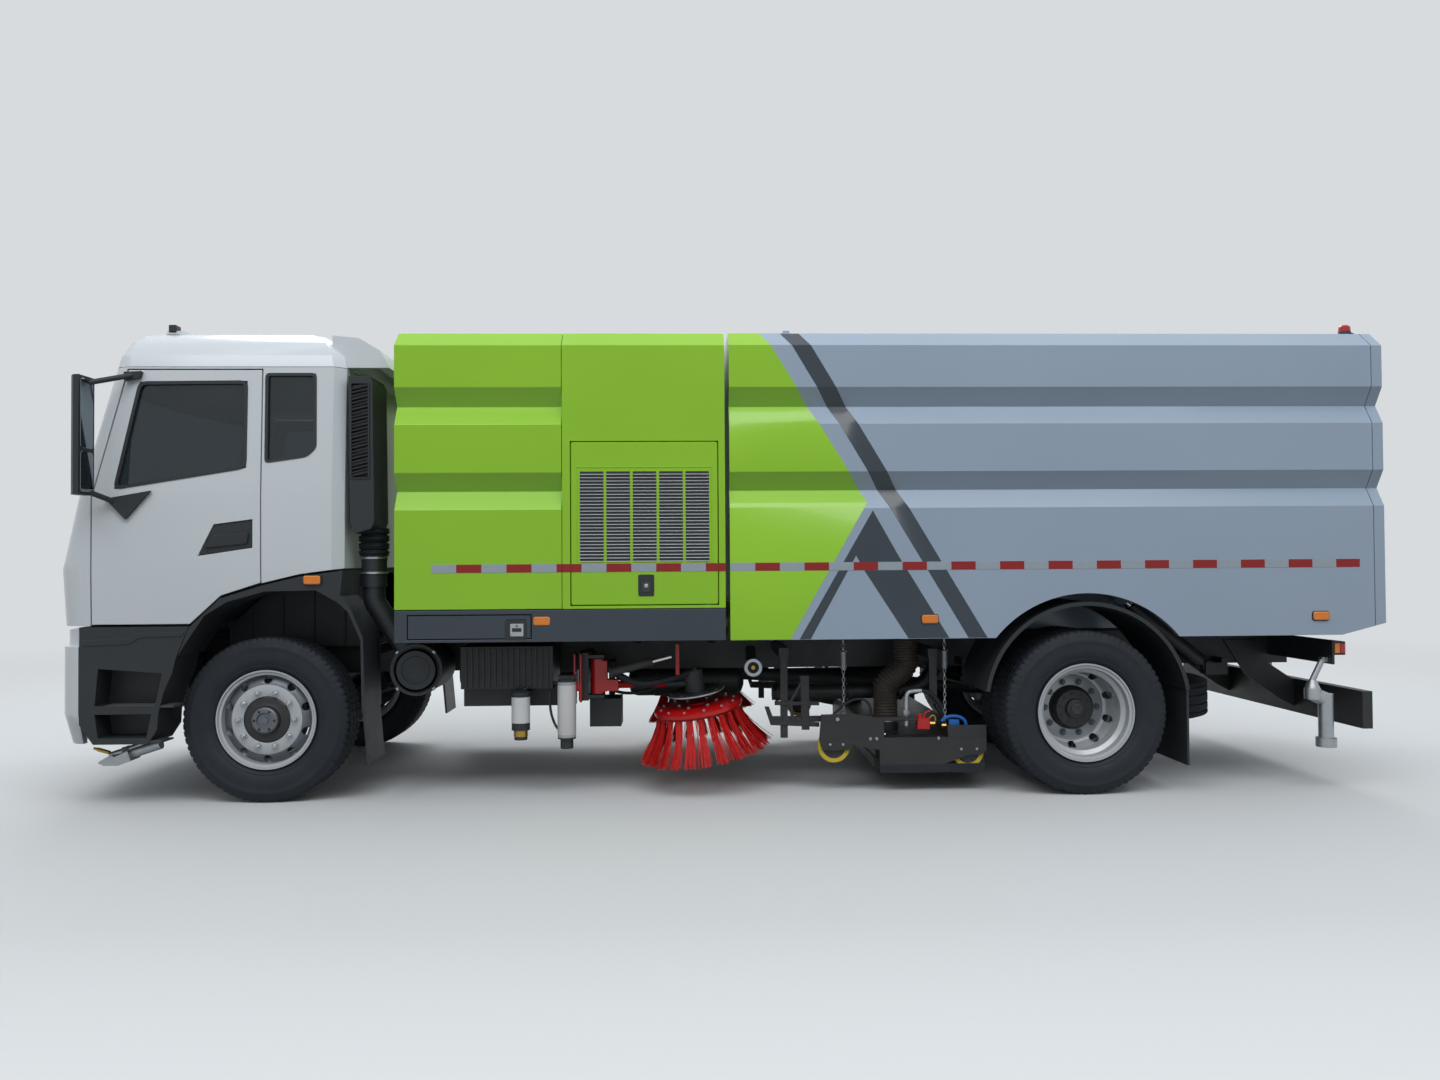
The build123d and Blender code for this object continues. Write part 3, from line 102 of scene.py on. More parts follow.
# A material of two close colours in soft patches, with uneven roughness and a fine bump.
# patch and grain are the sizes in mm of the colour's patches and of the bump's grains, and dust is a road
# film's colour.
def finish(name, slot, dark, light, rough=(0.3, 0.4), patch=400, grain=2.0, bump=0.1, dust=None, **constants):
    material = bpy.data.materials.new(name)
    material.use_nodes = True
    tree = material.node_tree
    shader = tree.nodes["Principled BSDF"]
    place = objectPlace(tree)
    patches = addNode(tree, "TexNoise", {"Scale": 1000 / patch, "Detail": 3.0}, {"Vector": place})
    out = addNode(tree, "Mix", {"data_type": "RGBA", 6: colour(dark), 7: colour(light)},
                  {0: patches.outputs["Fac"]}).outputs[2]
    if dust:
        height = addNode(tree, "SeparateXYZ", None, {0: place}).outputs["Z"]
        low = addNode(tree, "MapRange", {"From Min": film["top"], "From Max": film["foot"],
                                         "To Max": film["most"]}, {0: height})
        share = addNode(tree, "Math", {"operation": "MULTIPLY"}, {0: low, 1: patches.outputs["Fac"]})
        out = addNode(tree, "Mix", {"data_type": "RGBA", 7: colour(dust)}, {0: share, 6: out}).outputs[2]
    tree.links.new(out, shader.inputs["Base Color"])
    cloud = addNode(tree, "TexNoise", {"Scale": 2500 / patch, "Detail": 4.0}, {"Vector": place})
    sheen = addNode(tree, "MapRange", {"To Min": rough[0], "To Max": rough[1]}, {0: cloud.outputs["Fac"]})
    tree.links.new(sheen.outputs[0], shader.inputs["Roughness"])
    if bump:
        fine = addNode(tree, "TexNoise", {"Scale": 1000 / grain, "Detail": 2.0}, {"Vector": place})
        addRelief(tree, bump, film["grain"], fine.outputs["Fac"])
    for socket, value in constants.items():
        shader.inputs[socket.replace("_", " ")].default_value = value
    materialSlots[name] = slot
    return material


print("materials")
# Baked enamel on pressed steel: smooth and bright, with a faint orange peel about 3 mm across
enamel = dict(rough=(0.18, 0.30), patch=900, grain=3.0, bump=0.05, Coat_Weight=0.35, Coat_Roughness=0.08)
whiteEnamel = finish("whiteCabEnamel", "cab_paint", "#CCD4DA", "#D7DEE3", **enamel)
limeEnamel = finish("limeBodyEnamel", "green_paint", "#8AC508", "#95D012", **enamel)
silverEnamel = finish("silverBodyEnamel", "silver_paint", "#93A5B9", "#9DAFC3", **enamel)
slateEnamel = finish("slateStripeEnamel", "slate_paint", "#222E3A", "#293743", **enamel)
# Air-dried chassis paint: black and satin, with road film low down
chassisPaint = finish("blackChassisPaint", "chassis_paint", "#15181B", "#1E2225", (0.38, 0.6), 250, 4.0, 0.2,
                      "#4A4844")
# Moulded polypropylene: black with an etched grain, drawn 1.5 mm across so that it shows
blackPlastic = finish("blackMouldedPlastic", "black_plastic", "#1A1F23", "#22282C", (0.45, 0.6), 300, 1.5,
                      0.25, "#3E3F3E")
# Textured cab plastic: grey and matt, so that it throws no glare
cabPlastic = finish("greyCabPlastic", "interior_plastic", "#2C2E31", "#35373A", (0.5, 0.65), grain=1.5)
# Woven polyester over foam; its thread is drawn 1.2 mm so that it shows
seatCloth = finish("wovenSeatCloth", "seat_cloth", "#232427", "#303237", (0.85, 0.95), 60, 1.2, 0.5,
                   Sheen_Weight=0.3)
# Vulcanised rubber with carbon black: dull, dusty low down
tyreRubber = finish("blackTyreRubber", "tyre_rubber", "#0D151D", "#151E27", (0.62, 0.8), 180, 1.5, 0.3,
                    "#272F38")
# Wheel paint with metal flakes: silver with a soft sheen, browned low down by dust
rimPaint = finish("silverRimPaint", "rim_steel", "#B6BCC2", "#C6CBD0", (0.28, 0.42), 120, 2.5, 0.1, "#77736B",
                  Metallic=0.3)
# The dish of the front rim is the same steel in a darker coat than its ring and flange
rimDish = finish("greyRimDish", "rim_steel", "#626A72", "#6E767E", (0.35, 0.5), 120, 2.5, 0.1, "#6A665E",
                 Metallic=0.4)
# Sand-cast iron: dark and rough, with a dull metal sheen
castIron = finish("greyCastIron", "cast_engine", "#3A3D40", "#4A4D50", (0.55, 0.75), 150, 3.0, 0.5, "#4A4844",
                  Metallic=0.3)
# Ground hard chrome: a clean mirror, so that a round rod shows thin bright lines
hardChrome = finish("hardChromeRod", "cylinder_chrome", "#C8CBCE", "#D4D7DA", (0.06, 0.14), Metallic=1.0)
# Hot-dip zinc: bright grey in spangles about 30 mm across, dulled by weather
zincSteel = finish("galvanisedSteel", "pipe_steel", "#9EA4A8", "#B4B9BC", (0.3, 0.5), 30, 5.0, 0.15,
                   Metallic=0.85)
# Machine enamel: a strong red with a thin gloss
redPaint = finish("redMachinePaint", "boom_red", "#B80A0E", "#CC1216", (0.25, 0.4), 200, Coat_Weight=0.3)
# Polypropylene bristles: slightly translucent red
redBristle = finish("redBristlePlastic", "brush_red", "#C2080A", "#E21A16", (0.6, 0.8), 40, 2.0, 0.3,
                    Subsurface_Weight=0.1)
# Cast polyurethane: waxy yellow, scuffed matt by the road
yellowTread = finish("yellowPolyurethane", "castor_yellow", "#C9B02A", "#D9C23C", (0.4, 0.6), 50)
# Rubber over a wire helix: brown and dull
hoseRubber = finish("brownSuctionHose", "hose_rubber", "#4A443E", "#5C554D", (0.5, 0.7), 80, 2.0, 0.3)
# Tinted safety glass: polished, so that it mirrors the sky and dims what is behind it
tintedGlass = finish("tintedWindowGlass", "glass", "#53646A", "#5B6C72", (0.02, 0.04), bump=0.0,
                     Transmission_Weight=0.9, IOR=1.5)
# Silvered glass: a plain mirror
mirrorGlass = finish("silveredMirror", "cylinder_chrome", "#7C868C", "#879196", (0.02, 0.05), bump=0.0,
                     Metallic=1.0)
# Moulded acrylic lenses: clear colour, with a glossy face over small prisms
acrylic = dict(patch=50, grain=4.0, bump=0.3, Coat_Weight=0.5)
amberLens = finish("amberLensPlastic", "boom_red", "#E0760E", "#F08C1C", (0.12, 0.2), **acrylic)
redLens = finish("redLensPlastic", "boom_red", "#A5120F", "#C01A16", (0.1, 0.2), **acrylic)
# A clear lens over a bright reflector: the two read as one pale mirror
clearLens = finish("clearLampLens", "cylinder_chrome", "#C9D2D8", "#DCE3E7", (0.05, 0.12), 50, 6.0, 0.2,
                   Metallic=0.6, Coat_Weight=0.8)
# Turned brass: yellow and satin, a little tarnished
brassMetal = finish("yellowBrass", "pipe_steel", "#A8843A", "#BD9A4E", (0.25, 0.4), 40, Metallic=0.9)
# Baked paint on the filter cans: white and glossy
whiteCan = finish("whiteFilterPaint", "rim_steel", "#D5D8DA", "#E2E4E5", (0.25, 0.4), 60)
# Moulded plastic of the water valve: blue, satin
bluePlastic = finish("blueValvePlastic", "boom_red", "#1B5FB4", "#2670C4", (0.3, 0.45), 40)


# Prismatic tape: a grid of small cells, which breaks the sky's mirror image into glints
prism = {"cell": 6, "randomness": 0.1, "bump": 0.4, "height": 0.0006}


def tapeFinish(name, slot, dark, light):
    material = finish(name, slot, dark, light, (0.4, 0.5), 20, bump=0.0, Coat_Weight=0.1)
    tree = material.node_tree
    cells = addNode(tree, "TexVoronoi", {"Scale": 1000 / prism["cell"], "Randomness": prism["randomness"]},
                    {"Vector": objectPlace(tree)})
    addRelief(tree, prism["bump"], prism["height"], cells.outputs["Distance"])
    return material


silverTape = tapeFinish("silverPrismaticTape", "rim_steel", "#95A2AD", "#A0ADB8")
redTape = tapeFinish("redPrismaticTape", "boom_red", "#860A0C", "#980F10")


# A shape is its points, (n, 3), and a list of face arrays, each (faces, corners).
# gridShape joins a grid of points, (rows, columns, 3), into quads. The last column joins the first, and ring
# joins the last row to the first too.
def gridShape(points, caps=True, ring=False):
    rows, columns = points.shape[:2]
    i = np.arange(rows if ring else rows - 1)
    a, b = (part.ravel() for part in np.meshgrid(i, np.arange(columns), indexing="ij"))
    c, d = (a + 1) % rows, (b + 1) % columns
    faces = [np.stack((a * columns + b, c * columns + b, c * columns + d, a * columns + d), -1)]
    if caps and not ring:
        faces += [np.arange(columns)[None, ::-1], np.arange(columns)[None] + (rows - 1) * columns]
    return points.reshape(-1, 3), faces


# Several shapes as one
def joined(*shapes):
    points, faces, start = [], [], 0
    for part, partFaces in shapes:
        points.append(part)
        faces += [face + start for face in partFaces]
        start += len(part)
    return np.concatenate(points), faces


# The same faces for many copies, each of size points
def repeated(faces, count, size):
    steps = np.arange(count)[:, None, None] * size
    return [(face[None] + steps).reshape(-1, face.shape[1]) for face in faces]


# One shape under many matrices, (k, 3, 4)
def copies(shape, matrices):
    points, faces = shape
    placed = np.einsum("kij,nj->kni", matrices[:, :, :3], points) + matrices[:, None, :, 3]
    return placed.reshape(-1, 3), repeated(faces, len(matrices), len(points))


# Matrices that only move, one for each offset
def moves(*offsets):
    offsets = np.array(offsets, float).reshape(-1, 3)
    return np.concatenate((np.tile(np.eye(3), (len(offsets), 1, 1)), offsets[:, :, None]), -1)


# Matrices that turn about an axis through a point, by Rodrigues' formula: I + sin K + (1 - cos) K K
def turns(point, axis, degrees):
    k = np.asarray(axis, float) / np.linalg.norm(axis)
    cross = np.array([[0, -k[2], k[1]], [k[2], 0, -k[0]], [-k[1], k[0], 0]])
    angles = np.radians(np.atleast_1d(degrees))[:, None, None]
    turn = np.eye(3) + np.sin(angles) * cross + (1 - np.cos(angles)) * (cross @ cross)
    shift = np.asarray(point, float) - turn @ np.asarray(point, float)
    return np.concatenate((turn, shift[:, :, None]), -1)


# Matrices that repeat a shape count times round an axis, from a starting angle
def roundTurns(point, axis, count, start=0):
    return turns(point, axis, np.arange(count) * 360 / count + start)


# The same shape on the other side of the truck
def mirrored(shape):
    return shape[0] * (1, -1, 1), [face[:, ::-1] for face in shape[1]]


# Shapes on the left with their mirror images, as one shape
def both(*shapes):
    shape = joined(*shapes)
    return joined(shape, mirrored(shape))


# Polygon whose corners are rounded by quadratic curves that start a radius away from them
def softOutline(points, radius, steps=4):
    corner = np.asarray(points, float)
    back, ahead = np.roll(corner, 1, 0) - corner, np.roll(corner, -1, 0) - corner
    start = corner + back * np.minimum(radius / np.linalg.norm(back, axis=1), 0.49)[:, None]
    end = corner + ahead * np.minimum(radius / np.linalg.norm(ahead, axis=1), 0.49)[:, None]
    t = np.linspace(0, 1, steps + 1)[None, :, None]
    curve = (1 - t) ** 2 * start[:, None] + 2 * t * (1 - t) * corner[:, None] + t * t * end[:, None]
    return curve.reshape(-1, corner.shape[1])


# A rectangle's corners, rounded where a radius is given
def rectangle(u0, v0, u1, v1, radius=0):
    corners = ((u0, v0), (u1, v0), (u1, v1), (u0, v1))
    return softOutline(corners, radius) if radius else np.array(corners, float)


# Outline moved inwards along the mitre of its neighbouring edges
def inset(outline, distance):
    area = np.sum(outline[:, 0] * np.roll(outline[:, 1], -1) - np.roll(outline[:, 0], -1) * outline[:, 1])
    edge = np.roll(outline, -1, 0) - outline
    edge /= np.maximum(np.linalg.norm(edge, axis=1, keepdims=True), 1e-9)
    inward = np.stack((-edge[:, 1], edge[:, 0]), -1) * np.sign(area)
    before = np.roll(inward, 1, 0)
    mitre = (inward + before) / np.maximum(1 + np.sum(inward * before, 1, keepdims=True), 0.3)
    return outline + mitre * distance


# An outline's plane: which axes its two numbers run along, and which its thickness
planes = {"xz": (0, 2, 1), "yz": (1, 2, 0)}
origin = (0, 0, 0)
up, rearwards, leftwards, rightwards = (0, 0, 1), (1, 0, 0), (0, -1, 0), (0, 1, 0)


# A flat outline given thickness between low and high across its plane, with its edges bevelled
def slab(outline, low, high, plane="xz", bevel=2.0):
    u, v, w = planes[plane]
    outline = np.asarray(outline, float)
    low, high = min(low, high), max(low, high)
    bevel = min(bevel, (high - low) * 0.4)
    points = np.zeros((4, len(outline), 3))
    rows = ((bevel, low), (0, low + bevel), (0, high - bevel), (bevel, high))
    for row, (shrink, height) in enumerate(rows):
        points[row][:, [u, v]] = inset(outline, shrink) if shrink else outline
        points[row, :, w] = height
    return gridShape(points)


# A box between two corners with bevelled edges
def block(x0, y0, z0, x1, y1, z1, bevel=3.0, radius=0):
    return slab(rectangle(x0, z0, x1, z1, radius), y0, y1, bevel=bevel)


# A profile of (radius, distance along the axis) turned about an axis through a centre
def lathe(profile, centre, axis=rightwards, steps=48, ring=False):
    profile = np.asarray(profile, float)
    w = np.asarray(axis, float) / np.linalg.norm(axis)
    u = np.cross(w, up if abs(w[2]) < 0.9 else rearwards)
    u /= np.linalg.norm(u)
    v = np.cross(w, u)
    angle = np.linspace(0, 2 * np.pi, steps, endpoint=False)
    around = np.cos(angle)[:, None] * u + np.sin(angle)[:, None] * v
    points = profile[:, None, :1] * around[None] + profile[:, None, 1:] * w + np.asarray(centre, float)
    return gridShape(points, ring=ring)


# A path rounded by cutting its corners again and again, ends kept
def curved(*points, rounds=3):
    path = np.asarray(points, float)
    for _ in range(rounds):
        a, b = path[:-1], path[1:]
        cut = np.stack((a * 0.75 + b * 0.25, a * 0.25 + b * 0.75), 1).reshape(-1, path.shape[1])
        path = np.concatenate((path[:1], cut, path[-1:]))
    return path


# A circle carried along a path, its frame turned as little as possible from step to step
def tube(path, radius, sides=12):
    path = np.asarray(path, float)
    along = np.gradient(path, axis=0)
    along /= np.linalg.norm(along, axis=1, keepdims=True)
    side = np.cross(along[0], up if abs(along[0, 2]) < 0.9 else rearwards)
    frames = []
    for direction in along:
        side = side - direction * np.dot(side, direction)
        side = side / np.linalg.norm(side)
        frames.append((side, np.cross(direction, side)))
    frames = np.array(frames)
    angle = np.linspace(0, 2 * np.pi, sides, endpoint=False)
    cosine, sine = np.cos(angle)[:, None], np.sin(angle)[:, None]
    around = cosine * frames[:, None, 0] + sine * frames[:, None, 1]
    return gridShape(path[:, None] + np.broadcast_to(radius, len(path))[:, None, None] * around)


# A round bar bent along the truck at one place across, from (x, z) points
def bend(y, points, radius, sides=12, rounds=3):
    return tube(curved(*[(x, y, z) for x, z in points], rounds=rounds), radius, sides)


# A straight round bar with bevelled ends
def rod(start, end, radius, sides=16, bevel=2.0):
    start, end = np.asarray(start, float), np.asarray(end, float)
    length, neck = np.linalg.norm(end - start), radius - bevel
    profile = ((neck, 0), (radius, bevel), (radius, length - bevel), (neck, length))
    return lathe(profile, start, end - start, sides)


# A hexagon bolt head with its washer, standing on a face
def bolt(place, axis, size=9.0):
    head = lathe(((size, 2), (size, size * 0.8), (size * 0.8, size)), place, axis, 6)
    return joined(head, lathe(((size * 1.3, 0), (size * 1.3, 2)), place, axis, 14))


# Many thin tubes at once: paths (k, rows, 3) and radii (rows)
def manyTubes(paths, radii, sides):
    k, rows = paths.shape[:2]
    along = paths[:, -1] - paths[:, 0]
    along /= np.linalg.norm(along, axis=1, keepdims=True)
    side = np.cross(along, (0.31, 0.17, 0.93))
    side /= np.linalg.norm(side, axis=1, keepdims=True)
    other = np.cross(along, side)
    angle = np.linspace(0, 2 * np.pi, sides, endpoint=False)
    around = np.cos(angle)[:, None] * side[:, None] + np.sin(angle)[:, None] * other[:, None]
    points = paths[:, :, None] + np.asarray(radii)[None, :, None, None] * around[:, None]
    return points.reshape(-1, 3), repeated(gridShape(points[0])[1], k, rows * sides)


# Makes the object from a shape, merges doubles, turns its faces outwards, and lets it ride on its body
def addPiece(name, shape, material, body="chassis", replaces=(), sharp=32, merge=True):
    mesh = bpy.data.meshes.new(name)
    points = (shape[0] + (axleX, 0, 0)) / 1000
    mesh.from_pydata(points.tolist(), [], [face for array in shape[1] for face in array.tolist()])
    work = bmesh.new()
    work.from_mesh(mesh)
    if merge:
        bmesh.ops.remove_doubles(work, verts=work.verts, dist=0.00002)
    bmesh.ops.recalc_face_normals(work, faces=work.faces)
    work.to_mesh(mesh)
    work.free()
    mesh.materials.append(material)
    mesh.shade_smooth()
    mesh.set_sharp_from_angle(angle=math.radians(sharp))
    piece = bpy.data.objects.new(name, mesh)
    bpy.context.scene.collection.objects.link(piece)
    if body:
        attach(piece, body)
    if replaces:
        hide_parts(*replaces)
    return piece


# The same piece on the left and, mirrored, on the right, each on its own body
def addPair(name, shape, material, body, replaces=(), **options):
    for side, form in (("left", shape), ("right", mirrored(shape))):
        old = [node.format(side) for node in replaces]
        addPiece(f"{name}_{side}", form, material, body.format(side), old, **options)


# How the CAD nodes' edges are softened, in metres and degrees
edges = {"width": 0.004, "segments": 2, "weld": 0.00005, "flat": 1.5, "sharp": 30}


# A CAD node with a finish of its own, its edges softened by modifiers
def dress(node, material, width=edges["width"]):
    cad = nodes[node]
    cad.data.materials.clear()
    cad.data.materials.append(material)
    if width:
        weld = cad.modifiers.new("weld", "WELD")
        weld.merge_threshold = edges["weld"]
        flat = cad.modifiers.new("flat", "DECIMATE")
        flat.decimate_type = "DISSOLVE"
        flat.angle_limit = math.radians(edges["flat"])
        bevel = cad.modifiers.new("bevel", "BEVEL")
        bevel.width = width
        bevel.segments = edges["segments"]
        bevel.limit_method = "ANGLE"
        bevel.angle_limit = math.radians(edges["sharp"])
        bevel.use_clamp_overlap = True
        cad.modifiers.new("normals", "WEIGHTED_NORMAL")


print("frame finishes")
finishes = {
    whiteEnamel: ("cab_roof", "door_left", "door_right"),
    limeEnamel: ("water_tank", "engine_housing"),
    silverEnamel: ("tailgate",),
    slateEnamel: ("side_skirts", "locker_lid"),
    chassisPaint: ("frame_rails", "front_axle", "rear_axle", "under_run_beam", "suction_head", "knuckle_left",
                   "knuckle_right", "fuel_tank", "brush_brackets", "ram_barrels"),
    blackPlastic: ("cab_steps", "front_mudguards", "rear_mudguards", "grille_panel", "mirror_left",
                   "mirror_right", "air_intake"),
    castIron: ("driveline", "auxiliary_engine"),
    cabPlastic: ("dashboard",),
    seatCloth: ("cab_seats",),
    redPaint: ("brush_carrier_left", "brush_carrier_right"),
    zincSteel: ("water_pipes",),
    hardChrome: ("ram_rods",),
    yellowTread: ("castor_front_left", "castor_front_right", "castor_rear_left", "castor_rear_right"),
}
for material, names in finishes.items():
    for node in names:
        dress(node, material)
for node in ("cab_glass", "door_glass_left", "door_glass_right"):
    dress(node, tintedGlass, 0)

# The tipping body is lime in front of the chevron, so its front wall and the roof's start are lime too
limeFront = {"until": 3010, "colour": "#8CC517"}
splitPaint = silverEnamel.copy()
splitPaint.name = "limeAndSilverEnamel"
materialSlots[splitPaint.name] = "silver_paint"
tree = splitPaint.node_tree
shader = tree.nodes["Principled BSDF"]
silverColour = shader.inputs["Base Color"].links[0].from_socket
parts = addNode(tree, "SeparateXYZ", None, {0: objectPlace(tree)})
past = addNode(tree, "Math", {"operation": "GREATER_THAN", 1: (axleX + limeFront["until"]) / 1000},
               {0: parts.outputs["X"]})
split = addNode(tree, "Mix", {"data_type": "RGBA", 6: colour(limeFront["colour"])},
                {0: past, 7: silverColour})
tree.links.new(split.outputs[2], shader.inputs["Base Color"])
dress("hopper", splitPaint)


# A finish that turns to another colour inside a box, given in mm as (behind the front axle, across, up)
def masked(material, name, low, high, text):
    painted = material.copy()
    painted.name = name
    materialSlots[name] = materialSlots[material.name]
    tree = painted.node_tree
    shader = tree.nodes["Principled BSDF"]
    plain = shader.inputs["Base Color"].links[0].from_socket
    place = objectPlace(tree)
    middle = (np.add(low, high) / 2 + (axleX, 0, 0)) / 1000
    half = np.subtract(high, low) / 2000
    away = addNode(tree, "VectorMath", {"operation": "SUBTRACT", 1: middle.tolist()}, {0: place})
    away = addNode(tree, "VectorMath", {"operation": "ABSOLUTE"}, {0: away})
    away = addNode(tree, "VectorMath", {"operation": "DIVIDE", 1: half.tolist()}, {0: away})
    parts = addNode(tree, "SeparateXYZ", None, {0: away}).outputs
    most = addNode(tree, "Math", {"operation": "MAXIMUM"}, {0: parts[0], 1: parts[1]})
    most = addNode(tree, "Math", {"operation": "MAXIMUM"}, {0: most, 1: parts[2]})
    inside = addNode(tree, "Math", {"operation": "LESS_THAN", 1: 1.0}, {0: most})
    mix = addNode(tree, "Mix", {"data_type": "RGBA", 7: colour(text)}, {0: inside, 6: plain})
    tree.links.new(mix.outputs[2], shader.inputs["Base Color"])
    return painted


# The nose behind the grille's slots is painted black as painted shade for the dark space behind them
dress("cab_shell", masked(whiteEnamel, "whiteCabEnamelShadedNose", (-1400, -835, 1158), (-1150, 835, 1525),
                          "#16191B"))
# The tilt brackets behind the bumper are black
dress("front_bumper", masked(whiteEnamel, "whiteBumperEnamel", (-1272, -460, 500), (-900, 460, 1100),
                             "#191C1E"))
# The second filter beside the battery box is a grey can, and the brush booms have red lower arms
dress("battery_box", masked(blackPlastic, "blackPlasticGreyFilter", (1745, -1105, 366), (1870, -975, 706),
                            "#AEB5B9"))
for side, sign in (("left", -1), ("right", 1)):
    dress(f"brush_boom_{side}", masked(castIron, side + "IronAndRedArm", (2000, -1100 * (sign < 0), 560),
                                       (2420, 1100 * (sign > 0), 780), "#B30A0E"))

print("camera and light")
bpy.context.scene.view_settings.view_transform = "Standard"
view = {"lens": 27.02, "sensor": 36, "distance": 7773, "height": 1452, "behind": 2524, "yaw": 2.03,
        "pitch": 1.06, "roll": 0.37}
camera = bpy.data.objects.new("camera", bpy.data.cameras.new("camera"))
bpy.context.scene.collection.objects.link(camera)
bpy.context.scene.camera = camera
camera.data.lens = view["lens"]
camera.data.sensor_width = view["sensor"]
camera.location = ((view["behind"] + axleX) / 1000, -view["distance"] / 1000, view["height"] / 1000)
# Looks along +Y, turned a little towards the rear, tipped up, and rolled
look = Euler((math.radians(90 + view["pitch"]), 0, math.radians(-view["yaw"]))).to_matrix()
camera.rotation_euler = (look @ Euler((0, 0, math.radians(-view["roll"]))).to_matrix()).to_euler()

# The light is an overcast sky: bright overhead and dim near the ground, as strength by height in the sky.
# The floor and the backdrop are pale where they are seen, and the floor casts back only as much light as
# concrete.
stage = {"sky": "#EEF2F6", "high": 0.88, "low": 0.42, "backdrop": "#D8DBDE", "floor": "#D2D5D7",
         "concrete": "#5E5C58", "reach": 60000, "fadeFrom": 6.0, "fadeTo": 17.0}


# How directly a surface is seen: 1 for camera, glossy and transmission rays, 0 for the rays of diffuse light
def seenRays(tree):
    rays = addNode(tree, "LightPath").outputs
    glassy = addNode(tree, "Math", {"operation": "MAXIMUM"},
                     {0: rays["Is Glossy Ray"], 1: rays["Is Transmission Ray"]})
    return addNode(tree, "Math", {"operation": "MAXIMUM"}, {0: rays["Is Camera Ray"], 1: glassy}).outputs[0]


paleFloor = finish("paleFloor", None, stage["floor"], stage["floor"], (0.7, 0.8), 3000, bump=0.0)
tree = paleFloor.node_tree
seen = seenRays(tree)
ground = addNode(tree, "Mix", {"data_type": "RGBA", 6: colour(stage["concrete"]), 7: colour(stage["floor"])},
                 {0: seen})
tree.links.new(ground.outputs[2], tree.nodes["Principled BSDF"].inputs["Base Color"])
# Far from the truck the floor fades into the backdrop, so that no horizon shows
far = addNode(tree, "VectorMath", {"operation": "LENGTH"}, {0: objectPlace(tree)})
fade = addNode(tree, "MapRange", {"interpolation_type": "SMOOTHSTEP", "From Min": stage["fadeFrom"],
                                 "From Max": stage["fadeTo"]}, {0: far.outputs["Value"]})
fading = addNode(tree, "Math", {"operation": "MULTIPLY"}, {0: fade, 1: seen})
glow = addNode(tree, "Emission", {"Color": colour(stage["backdrop"])})
sweep = addNode(tree, "MixShader", None, {0: fading, 1: tree.nodes["Principled BSDF"], 2: glow})
tree.links.new(sweep.outputs[0], tree.nodes["Material Output"].inputs["Surface"])
reach = stage["reach"]
floor = addPiece("floor", block(-reach, -reach, -50, reach, reach, -1), paleFloor, None)
world = bpy.data.worlds.new("sky")
bpy.context.scene.world = world
world.use_nodes = True
sky = world.node_tree
sky.nodes.clear()
height = addNode(sky, "SeparateXYZ", None, {0: addNode(sky, "TexCoord").outputs["Generated"]})
strength = addNode(sky, "MapRange", {"From Min": 0.0, "From Max": 1.0, "To Min": stage["low"],
                                     "To Max": stage["high"]}, {0: height.outputs["Z"]})
lightSky = addNode(sky, "Background", {"Color": colour(stage["sky"])}, {"Strength": strength})
paleSky = addNode(sky, "Background", {"Color": colour(stage["backdrop"]), "Strength": 1.0})
mixed = addNode(sky, "MixShader", None, {0: seenRays(sky), 1: lightSky, 2: paleSky})
addNode(sky, "OutputWorld", None, {0: mixed})

# Area lights: place and size in metres, power in watts, and turn about the truck's length in degrees
lights = {"overhead": ((0, -1.5, 8.5), (14, 7), 20, -8), "leftSide": ((0, -8, 10.5), (16, 5), 780, 40),
          "rightSide": ((0, 8, 10.5), (16, 5), 780, -40)}
for name, (place, size, power, turn) in lights.items():
    light = bpy.data.lights.new(name, "AREA")
    light.shape = "RECTANGLE"
    light.size, light.size_y = size
    light.energy = power
    lamp = bpy.data.objects.new(name, light)
    lamp.location = place
    lamp.rotation_euler[0] = math.radians(turn)
    bpy.context.scene.collection.objects.link(lamp)

print("tyres and rims")
tyre = {"radius": 500, "notches": 72, "notchDepth": 7, "grooveDepth": 13, "slitDepth": 5, "steps": 360}
wheel = {"nutCircle": 167.5, "nuts": 10, "nutSize": 16.5, "holes": 10, "holeCircle": 242, "holeRadius": 25,
         "dishFrom": 206, "dishTo": 270, "dishThickness": 12}


# Tyre: a profile from bead to bead turned about the axle. The radius drops in two pairs of grooves, in
# notches across each shoulder and in slits across the middle ribs, both by the angle's phase.
def tyreShape(axle, centreY, phase=0.0):
    side = [(298, 98), (312, 112), (330, 124), (336, 124), (340, 128), (372, 136.5), (405, 138),
            (432, 135.5), (437, 137.5), (447, 137), (452, 134), (470, 129), (484, 124), (490.5, 120.5),
            (495.5, 116), (500, 110)]
    top, floorOf = tyre["radius"], tyre["radius"] - tyre["grooveDepth"]
    for middle in (86, 32):
        side += [(top, middle + 7.5), (floorOf, middle + 4.5), (floorOf, middle - 4.5), (top, middle - 7.5)]
    half = np.array(side + [(top, 0)], float)
    profile = np.concatenate((half, half[-2::-1] * (1, -1), [(296, -94), (296, 94)]))
    angle = np.linspace(0, 2 * np.pi, tyre["steps"], endpoint=False) + phase
    r, y = profile[:, None, 0], profile[:, None, 1]
    beat = angle * tyre["notches"] / (2 * np.pi)
    shoulder = (np.abs(y) > 94) & (r > 462) & ((beat + 0.25 * np.sign(y)) % 1 < 0.35)
    slit = (np.abs(y) < 94) & (beat % 1 < 0.19) & (r > top - 3)
    r = r - np.where(shoulder, tyre["notchDepth"], 0) - np.where(slit, tyre["slitDepth"], 0)
    points = np.stack((axle + r * np.cos(angle), centreY + y + 0 * angle, top + r * np.sin(angle)), -1)
    return gridShape(points, ring=True)


